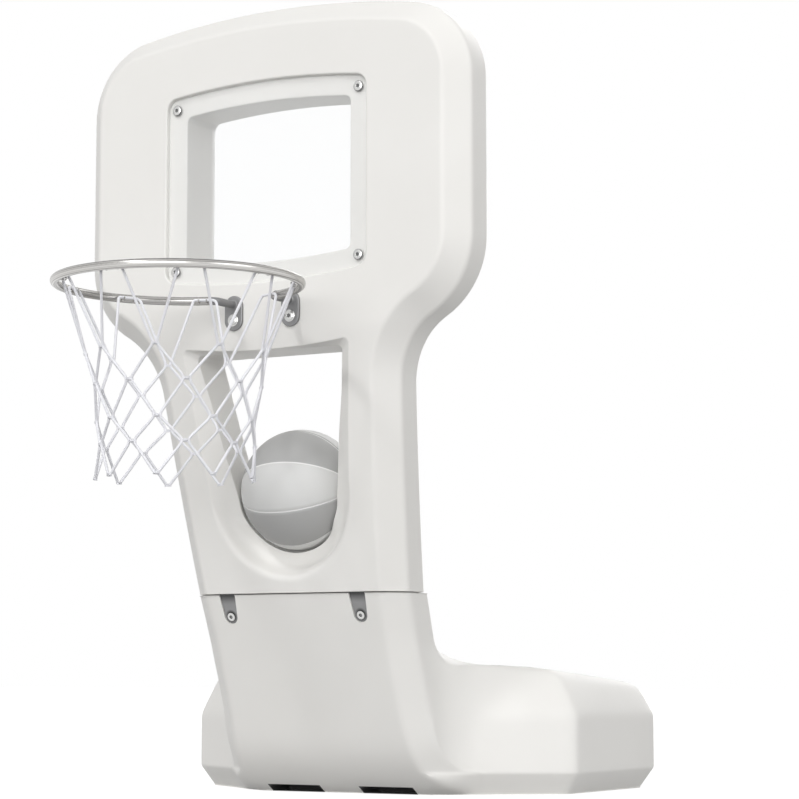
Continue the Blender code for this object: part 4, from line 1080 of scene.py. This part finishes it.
def net_cord_path(loop):
    """One cord: up from a bottom point, over its two hooks and down to the next bottom point."""
    middle = NET_PHASE + NET_STEP * loop
    half = [(LOOP_HALF_ANGLE, RIM_RADIUS - RIM_TUBE - NET_CORD / 2 - NET_CLEAR, RIM_Z)]
    for index, (z, radius) in enumerate(NET_ROWS):
        beside = 0.55 * NET_CORD / radius
        half.append((beside if index % 2 else NET_STEP / 2 - beside, radius, z))
    right = [round_rim(middle + angle, radius, z) for angle, radius, z in half]
    left = [round_rim(middle - angle, radius, z) for angle, radius, z in reversed(half)]
    return soft_path(left + right, NET_CUTS, 4)


def knot(angle, radius, z):
    """Cord wrapped twice round two cords where they meet."""
    middle = round_rim(angle, radius, z)
    out = (middle - round_rim(0, 0, z)).normalized()
    wide = UP.cross(out) * NET_CORD * 1.05
    deep = out * NET_CORD * 0.62
    points = []
    for i in range(25):
        around = 2 * math.pi * i / 12
        rise = UP * KNOT_HALF_HIGH * (1 - i / 12)
        points.append(middle + wide * math.cos(around) + deep * math.sin(around) + rise)
    return tube(points, KNOT_WIRE, 6)


def net():
    parts = [tube(net_cord_path(loop), NET_CORD / 2, 10) for loop in range(NET_LOOPS)]
    for index, (z, radius) in enumerate(NET_ROWS):
        shift = 0.0 if index % 2 else NET_STEP / 2
        parts += [knot(NET_PHASE + NET_STEP * loop + shift, radius, z) for loop in range(NET_LOOPS)]
    return join(parts)


# Ball


def ball():
    """Ball with moulded seams that run from pole to pole; the UV map counts the panels."""
    offsets = (-1.0, -0.62, -0.3, 0.0, 0.3, 0.62, 1.0)
    shares = [i / 19 for i in range(1, 19)]
    rows = 120
    columns = []
    for seam, following in zip(SEAMS, SEAMS[1:] + [SEAMS[0] + 360]):
        columns += [(seam, offset, SEAM_DEEP * math.cos(offset * math.pi / 2) ** 2) for offset in offsets]
        columns += [(seam + (following - seam) * share, 1 - 2 * share, 0.0) for share in shares]

    def place(column, row):
        degrees, widths, depth = columns[column]
        latitude = math.pi * (row / (rows - 1) - 0.5)
        level = math.cos(latitude)
        longitude = math.radians(degrees) + widths * SEAM_WIDE / (BALL_RADIUS * max(level, 0.25))
        spot = Vector((level * math.cos(longitude), level * math.sin(longitude), math.sin(latitude)))
        return ball_centre() + ball_turn() @ spot * (BALL_RADIUS - depth)

    bm = mapped_grid(len(columns), rows, place, True)
    layer = bm.loops.layers.uv.active
    per_panel = len(offsets) + len(shares)
    for loop in [loop for face in bm.faces for loop in face.loops]:
        u, v = loop[layer].uv
        panel, within = divmod(round(u * len(columns)), per_panel)
        loop[layer].uv = (panel + (within - len(offsets) // 2) / per_panel, v)
    return bm


def ball_turn():
    """Turn that takes the seams' own axes to the ball's."""
    first = BALL_POLE.cross(UP).normalized()
    return Matrix((first, BALL_POLE.cross(first), BALL_POLE)).transposed()


# Screws, tabs and ports


def screw(seat, out, length, head=SCREW_HEAD_R):
    """Button-head screw with a hexagonal socket: its head stands on seat, its shank goes in against out."""
    dome = arc((0, -DOME_DROP), math.hypot(head, DOME_RISE), math.atan2(DOME_RISE, head), DOME_END, 7)
    profile = [(0.0, -length), (SCREW_R, -length), (SCREW_R, 0.0), (head - HEAD_UNDERCUT, 0.0)]
    profile += [(head, HEAD_EDGE)] + dome
    profile += [(radius, dome[-1][1] - depth) for radius, depth in SOCKET]
    socket = (len(profile) - 3, len(profile) - 2)

    def six_sided(row, radius, around):
        within = (around + math.pi / 6) % (math.pi / 3) - math.pi / 6
        return radius / math.cos(within) if row in socket else radius

    return placed(lathed(profile, 36, six_sided), seat, out)


def seam_tab(side):
    x = side * TAB_X
    slab = tab_slab(x, 0, TAB_RECESS - TAB_THICK - GAP, TAB_RECESS - GAP)
    bm = carved(slab, [tab_tongue(x, 0)], "UNION")
    point, out = seam_screw_seat(side)
    return carved(bm, [bar(SCREW_BORE, point + out * 0.01, point - out * 0.01, 24)])


def port_parts(port):
    """Collar and screwed stopper of a port, with ribs round the stopper's edge and a bar to turn it by."""
    floor = port_floor(port)
    bore, lip, head, top = port.bore, port.lip_high, port.head, port.head_top
    collar = [(bore, -port.neck_long), (port.neck, -port.neck_long), (port.neck, GAP), (port.lip, GAP)]
    collar += [(port.lip, lip), (bore, lip), (bore, -port.neck_long)]
    under = lip + port.seal_high + 2 * GAP
    thread = bore - THREAD_CLEAR
    crown = head - LID_SOFT
    brim = crown - port.brim
    profile = [(0, -port.thread), (thread, -port.thread), (thread, under), (head - LID_CHAMFER, under)]
    profile += [(head, under + LID_CHAMFER), (head, top - LID_SOFT), (head - 0.0006, top - 0.0007)]
    profile.append((crown, top))
    profile += [(brim, top), (brim - 0.0010, top - 0.0006), (port.dish, port.dish_floor + 0.0006)]
    profile += [(port.dish - 0.001, port.dish_floor), (0, port.dish_floor)]

    def ribbed(row, radius, around):
        return radius - RIB_DEEP * (0.5 + 0.5 * math.cos(RIBS * around)) if row in (4, 5) else radius

    stopper = faced_out(lathed(profile, 144, ribbed))
    half_long = 0.90 * port.dish
    half_wide = 0.1 * head
    grip = block((-half_long, -half_wide, port.dish_floor - 0.001), (half_long, half_wide, top - GAP))
    stopper = carved(stopper, [rounded(grip, 0.0012)], "UNION")
    return turned(collar, floor, port.out, 64), placed(stopper, floor, port.out)


# Materials


class Shade:
    """Output of a node; sums, products and comparisons of shades and numbers add Math nodes."""

    def __init__(self, owner, socket):
        self.owner = owner
        self.socket = socket

    def _math(self, operation, *values):
        return self.owner.node("Math", dict(enumerate(values)), operation=operation)

    def __add__(self, other):
        return self._math("ADD", self, other)

    def __radd__(self, other):
        return self._math("ADD", other, self)

    def __sub__(self, other):
        return self._math("SUBTRACT", self, other)

    def __rsub__(self, other):
        return self._math("SUBTRACT", other, self)

    def __mul__(self, other):
        return self._math("MULTIPLY", self, other)

    def __rmul__(self, other):
        return self._math("MULTIPLY", other, self)

    def __lt__(self, other):
        return self._math("LESS_THAN", self, other)

    def __abs__(self):
        return self._math("ABSOLUTE", self)


class Nodes:
    """Node tree of a material or of the world."""

    def __init__(self, tree):
        self.tree = tree

    def node(self, kind, inputs=None, out=0, stops=None, **settings):
        """Any node: its settings first, then the values of its sockets or the links into them."""
        made = self.tree.nodes.new("ShaderNode" + kind)
        for key, value in settings.items():
            setattr(made, key, value)
        if stops:
            for element, (position, level) in zip(made.color_ramp.elements, stops):
                element.position = position
                element.color = (level, level, level, 1.0)
        for key, value in (inputs or {}).items():
            self.put(made.inputs[key], value)
        return Shade(self, made.outputs[out]) if made.outputs else None

    def put(self, socket, value):
        if isinstance(value, Shade):
            self.tree.links.new(value.socket, socket)
        elif socket.type == "RGBA" and len(value) == 3:
            socket.default_value = (*value, 1.0)
        else:
            socket.default_value = value

    def axes(self, vector):
        return [self.node("SeparateXYZ", {0: vector}, out=axis) for axis in "XYZ"]


class Finish(Nodes):
    """Procedural material on a Principled shader."""

    def __init__(self, name, **surface):
        self.material = bpy.data.materials.new(name)
        self.material.use_nodes = True
        super().__init__(self.material.node_tree)
        self.shader = self.tree.nodes["Principled BSDF"]
        self.coordinates = self.node("TexCoord", out="Object")
        self.uv = self.node("UVMap", uv_map="UVMap")
        self.set(**surface)

    def set(self, **surface):
        """Fill sockets, with underscores for spaces, so Base_Color is Base Color; returns the material."""
        for key, value in surface.items():
            self.put(self.shader.inputs[key.replace("_", " ")], value)
        return self.material

    def noise(self, scale, detail=2.0, roughness=0.5, vector=None):
        place = vector or self.coordinates
        inputs = {"Vector": place, "Scale": scale, "Detail": detail, "Roughness": roughness}
        return self.node("TexNoise", inputs)

    def mix(self, factor, first, second):
        return self.node("Mix", {0: factor, 6: first, 7: second}, out=2, data_type="RGBA")

    def ramp(self, value, *stops):
        return self.node("ValToRGB", {0: value}, stops=stops)

    def bump(self, height, strength, distance):
        return self.node("Bump", {"Strength": strength, "Distance": distance, "Height": height})


def moulded_plastic():
    """Off-white rotomoulded polyethylene: soft grain, faint drifts of tone, painted shade in the finger
    notches.
    """
    made = Finish("moulded_plastic", Specular_IOR_Level=0.24)
    drift = made.ramp(made.noise(3.5, 3.0), (0.30, 0.0), (0.70, 1.0))
    clean = made.mix(drift, (0.815, 0.803, 0.775), (0.845, 0.834, 0.808))
    x, y, z = made.axes(made.coordinates)
    # Painted shade: the inside of the finger notches is painted near black
    painted_notch_shade = (abs(abs(x) - NOTCH_X) < NOTCH_HALF + 0.0006) * (z < NOTCH_HIGH + 0.0004)
    painted_notch_shade *= y < NOTCH_REAR + 0.001
    grain = made.noise(650.0, 3.0, 0.6) * 0.6 + made.noise(150.0) * 0.4
    return made.set(
        Base_Color=made.mix(painted_notch_shade, clean, (0.05, 0.05, 0.05)),
        Roughness=0.40 + made.noise(30.0, 4.0) * 0.12,
        Normal=made.bump(grain, 0.22, 0.0006),
    )


def clear_plastic():
    """Clear pane: almost all of it lets light through, more of it shows edge-on."""
    made = Finish("clear_plastic", Base_Color=(0.93, 0.95, 0.96), IOR=1.49)
    facing = made.node("LayerWeight", {"Blend": 0.35}, out="Facing")
    return made.set(Alpha=facing * 0.4 + 0.04, Roughness=0.04 + made.noise(60.0) * 0.05)


def brushed_steel(name, colour, roughness, scratch):
    """Turned metal; the sockets of the screws, at the far end of their UV map, have painted shade inside."""
    made = Finish(name, Metallic=1.0)
    lines = made.noise(scratch, 3.0, 0.6)
    clean = made.mix(made.noise(25.0, 3.0), [level * 0.82 for level in colour], colour)
    # Painted shade: the far end of the screws' UV map, their hex socket, is painted dark
    socket = made.ramp(made.axes(made.uv)[1], (0.83, 0.0), (0.86, 1.0))
    return made.set(
        Base_Color=made.mix(socket, clean, (0.16, 0.16, 0.16)),
        Roughness=roughness + lines * 0.14,
        Normal=made.bump(lines, 0.06, 0.0002),
    )


def drawn_steel():
    """Stainless tube: fine lines left by the die and broad painted reflections run round the ring, brighter
    and darker in turn.
    """
    made = Finish("rim_steel_finish", Metallic=1.0)
    place = made.node("VectorMath", {0: made.coordinates, 1: round_rim(0, 0)}, operation="SUBTRACT")
    flat = made.node("VectorMath", {0: place, 1: (1.0, 1.0, 0.0)}, operation="MULTIPLY")
    out = made.node("VectorMath", {0: flat}, out="Value", operation="LENGTH")
    across = made.node("CombineXYZ", {"X": out, "Y": made.axes(place)[2]})
    # Painted reflection: broad bright and dark bands across the tube stand in for reflected streaks
    painted_reflection_bands = made.ramp(made.noise(230.0, 2.0, 0.55, across), (0.40, 0.0), (0.60, 1.0))
    fine = made.noise(1400.0, 2.0, 0.6, across)
    smear = made.noise(14.0, 3.0)
    tone = painted_reflection_bands * 0.75 + fine * 0.15 + smear * 0.10
    return made.set(
        Base_Color=made.mix(tone, (0.13, 0.127, 0.122), (0.60, 0.588, 0.57)),
        Roughness=0.16 + fine * 0.12 + smear * 0.08,
        Normal=made.bump(fine, 0.12, 0.0002),
    )


def coated_steel():
    """Grey powder coat with a fine orange peel, and painted shade under the seam and round the screws on its
    tabs.
    """
    made = Finish("coated_steel", Metallic=0.55)
    coat = made.mix(made.noise(40.0, 3.0), (0.21, 0.21, 0.21), (0.28, 0.28, 0.285))
    # Painted shade: the tabs are painted dark just under the seam and in a ring round each tab screw
    x, _, z = made.axes(made.coordinates)
    beside = abs(x) - TAB_X
    above = z - TAB_SCREW_Z
    apart = made.node("Math", {0: beside * beside + above * above}, operation="SQRT") * 50
    painted_shade_under_seam = made.ramp(z, (LOWER_TOP - 0.016, 0.0), (LOWER_TOP - 0.002, 1.0)) * (z < LOWER_TOP + 0.02)
    painted_shade_round_screw = made.ramp(apart, (0.42, 1.0), (0.66, 0.0))
    painted_tab_shade = made.node("Math", {0: painted_shade_under_seam, 1: painted_shade_round_screw}, operation="MAXIMUM")
    return made.set(
        Base_Color=made.mix(painted_tab_shade, coat, (0.05, 0.05, 0.05)),
        Roughness=0.36 + made.noise(90.0) * 0.14,
        Normal=made.bump(made.noise(900.0), 0.20, 0.0004),
    )


def braided_cord():
    """White braided cord: slanting yarns from the UV map, which holds the length in metres."""
    made = Finish("braided_cord", Specular_IOR_Level=0.25, Sheen_Weight=0.25)
    across, length, _ = made.axes(made.node("Mapping", {"Vector": made.uv, "Scale": (5.0, 420.0, 1.0)}))
    slants = [(across + length) * (2 * math.pi), (across - length) * (2 * math.pi)]
    one, other = [made.node("Math", {0: slant}, operation="SINE") for slant in slants]
    weave = made.node("Math", {0: one, 1: other}, operation="MAXIMUM") * 0.5 + 0.5
    fluff = made.noise(900.0)
    return made.set(
        Base_Color=made.mix(weave * 0.7 + fluff * 0.3, (0.77, 0.77, 0.82), (0.91, 0.91, 0.94)),
        Roughness=0.70 + fluff * 0.2,
        Normal=made.bump(weave * 0.8 + fluff * 0.2, 0.5, 0.0006),
    )


def ball_rubber():
    """Two greys of matt rubber in turn round the ball, with a fine pebble and a pale painted highlight down
    each seam.
    """
    made = Finish("ball_rubber", Specular_IOR_Level=0.35)
    panel = made.axes(made.uv)[0]
    light = made.node("Math", {0: panel, 1: 2.0}, operation="MODULO") < 1.0
    drift = made.noise(18.0, 3.0) * 0.06
    pale = made.mix(drift, (0.71, 0.71, 0.70), (0.64, 0.64, 0.63))
    dark = made.mix(drift, (0.45, 0.45, 0.445), (0.39, 0.39, 0.385))
    beside = made.node("Math", {0: panel, 1: 0.5}, operation="PINGPONG")
    # Painted highlight: the middle of each seam groove is painted pale
    painted_seam_highlight = made.ramp(beside, (0.03, 1.0), (0.075, 0.0))
    pebble = made.node("TexVoronoi", {"Vector": made.coordinates, "Scale": 700.0}, out="Distance")
    return made.set(
        Base_Color=made.mix(painted_seam_highlight, made.mix(light, pale, dark), (0.87, 0.87, 0.86)),
        Roughness=0.50 + made.noise(50.0) * 0.12,
        Normal=made.bump(pebble, 0.16, 0.0005),
    )


def plain_plastic(name, dark, light, roughness):
    """Plastic or rubber of one grey, a little uneven."""
    made = Finish(name)
    return made.set(
        Base_Color=made.mix(made.noise(60.0, 3.0), (dark,) * 3, (light,) * 3),
        Roughness=roughness + made.noise(120.0) * 0.12,
        Normal=made.bump(made.noise(800.0), 0.15, 0.0004),
    )


def pool_water():
    made = Finish("pool_water", Transmission_Weight=0.9, IOR=1.333)
    return made.set(
        Base_Color=made.mix(made.noise(6.0), (0.60, 0.74, 0.80), (0.70, 0.82, 0.86)),
        Roughness=0.02 + made.noise(20.0) * 0.04,
        Normal=made.bump(made.noise(14.0), 0.10, 0.001),
    )


FINISHES = {
    "moulded_shell": moulded_plastic(),
    "clear_pane": clear_plastic(),
    "screw_steel": brushed_steel("screw_steel_finish", (0.62, 0.62, 0.61), 0.16, 600.0),
    "rim_steel": drawn_steel(),
    "bracket_steel": coated_steel(),
    "insert_brass": brushed_steel("insert_brass_finish", (0.72, 0.56, 0.27), 0.25, 200.0),
    "washer_nylon": plain_plastic("washer_nylon_finish", 0.16, 0.22, 0.40),
    "net_cord": braided_cord(),
    "ball_rubber": ball_rubber(),
    "cap_plastic": plain_plastic("cap_plastic_finish", 0.26, 0.31, 0.40),
    "seal_rubber": plain_plastic("seal_rubber_finish", 0.03, 0.05, 0.65),
    "water": pool_water(),
}


# Floor, lamps and camera


def background_rays(tree):
    """1 for the rays that see the backdrop: from the camera, and through gloss or clear plastic."""
    rays = [tree.node("LightPath", out=f"Is {ray} Ray") for ray in ("Camera", "Glossy", "Transmission")]
    for ray in rays[1:]:
        rays[0] = tree.node("Math", {0: rays[0], 1: ray}, operation="MAXIMUM")
    return rays[0]


def floor():
    """Floor that glows white for the camera, away from the object, and takes its shadow beneath it."""
    bm = bmesh.new()
    bmesh.ops.create_grid(bm, x_segments=4, y_segments=4, size=30.0)
    made = as_object(bm, "floor")
    material = bpy.data.materials.new("floor_white")
    material.use_nodes = True
    material.node_tree.nodes.clear()
    finish = Nodes(material.node_tree)
    x, y, _ = finish.axes(finish.node("TexCoord", out="Object"))
    outside = []
    for half_x, middle_y, half_y in SHADED_FLOOR:
        past = {0: abs(x) - half_x, 1: abs(y - middle_y) - half_y}
        outside.append(finish.node("Math", past, operation="MAXIMUM"))
    past = finish.node("Math", dict(enumerate(outside)), operation="MINIMUM")
    white = finish.node("Math", {0: past, 1: 60.0}, operation="MULTIPLY", use_clamp=True)
    lit = finish.node("BsdfDiffuse", {"Color": (0.42, 0.42, 0.42)})
    strength = background_rays(finish) * white * 0.84
    glow = finish.node("Emission", {"Color": (1.0, 1.0, 1.0), "Strength": strength})
    finish.node("OutputMaterial", {"Surface": finish.node("AddShader", {0: lit, 1: glow})})
    made.data.materials.append(material)
    made.location.z = -0.0005


def studio():
    scene = bpy.context.scene
    scene.view_settings.view_transform = "Standard"
    scene.world = bpy.data.worlds.new("studio")
    scene.world.use_nodes = True
    tree = Nodes(scene.world.node_tree)
    backdrop = tree.tree.nodes["Background"].inputs
    tree.put(backdrop["Strength"], AMBIENT + background_rays(tree) * (1 - AMBIENT))
    tree.put(backdrop["Color"], (1.0, 1.0, 1.0))
    for name, (towards, strength, spread) in LAMPS.items():
        light = bpy.data.lights.new(name, "SUN")
        light.energy = strength
        light.angle = math.radians(spread)
        linked(name, light).rotation_euler = Vector(towards).to_track_quat("Z", "Y").to_euler()
    floor()
    camera = linked("camera", bpy.data.cameras.new("camera"))
    camera.data.lens = CAMERA_LENS
    camera.data.sensor_width = 36.0
    camera.location = CAMERA_PLACE
    camera.rotation_euler = (math.radians(90 + CAMERA_PITCH), 0, math.radians(CAMERA_TURN))
    scene.camera = camera


# The object


def dress_frame():
    """Put each slot's procedural material on the frame nodes that stay visible."""
    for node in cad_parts.values():
        for slot in node.material_slots:
            slot.material = FINISHES[slot.material.name.split(".")[0]]


def piece(name, bm, slot, *nodes, body="hoop", sharp=32.0):
    """One finished piece of the object: its mesh, slot and body, and the frame nodes it stands for."""
    made = as_object(bm, name)
    made.data.shade_smooth()
    made.data.set_sharp_from_angle(angle=math.radians(sharp))
    made.data.materials.append(FINISHES[slot])
    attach(made, body)
    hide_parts(*nodes)


def build():
    dress_frame()
    piece("backboard_and_column", upper_moulding(), "moulded_shell", "upper_shell")
    piece("lower_column_and_base", lower_moulding(), "moulded_shell", "lower_shell")
    piece("clear_window", clear_pane(), "clear_pane", "window_pane")
    piece("rim_tube", rim(), "rim_steel", "rim_ring", sharp=50)
    piece("net_cords", net(), "net_cord", "net", sharp=60)
    piece("ball_cover", ball(), "ball_rubber", "ball_shell", body="ball", sharp=80)
    seat = LEDGE_DEPTH - PANE_THICK - PANE_WASHER_HIGH - 3 * GAP
    places = [f"{up}_{side}" for up in ("lower", "upper") for side in SIDES]
    for place, point in zip(places, pane_screw_points()):
        head = screw(point + BACK * seat, FRONT, SCREW_LONG)
        piece(f"window_screw_{place}", head, "screw_steel", f"pane_screw_{place}")
    for name, side in SIDES.items():
        piece(f"{name}_bracket", bracket(side), "bracket_steel", f"bracket_{name}")
        piece(f"{name}_ring", raised_washer(side), "screw_steel", f"bracket_washer_{name}")
        spot = Vector((side * BRACKET_X, FACE_Y - PLATE_THICK - WASHER_HIGH - 2 * GAP, BRACKET_SCREW_Z))
        bolt = screw(spot, FRONT, SCREW_LONG)
        piece(f"{name}_bracket_bolt", bolt, "screw_steel", f"bracket_screw_{name}")
        piece(f"{name}_tab", seam_tab(side), "bracket_steel", f"seam_tab_{name}")
        point, out = seam_screw_seat(side)
        head = screw(point + out * (TAB_THICK + 3 * GAP), out, SEAM_SCREW_LONG, SEAM_HEAD_R)
        piece(f"{name}_tab_screw", head, "screw_steel", f"seam_screw_{name}")
    collar, stopper = port_parts(FILLER)
    piece("filler_collar", collar, "cap_plastic", "fill_collar")
    piece("filler_lid", stopper, "cap_plastic", "fill_cap", body="filler_cap")
    collar, stopper = port_parts(DRAIN)
    piece("drain_neck", collar, "cap_plastic", "drain_collar")
    piece("drain_lid", stopper, "cap_plastic", "drain_plug", body="drain_stopper")


build()
studio()
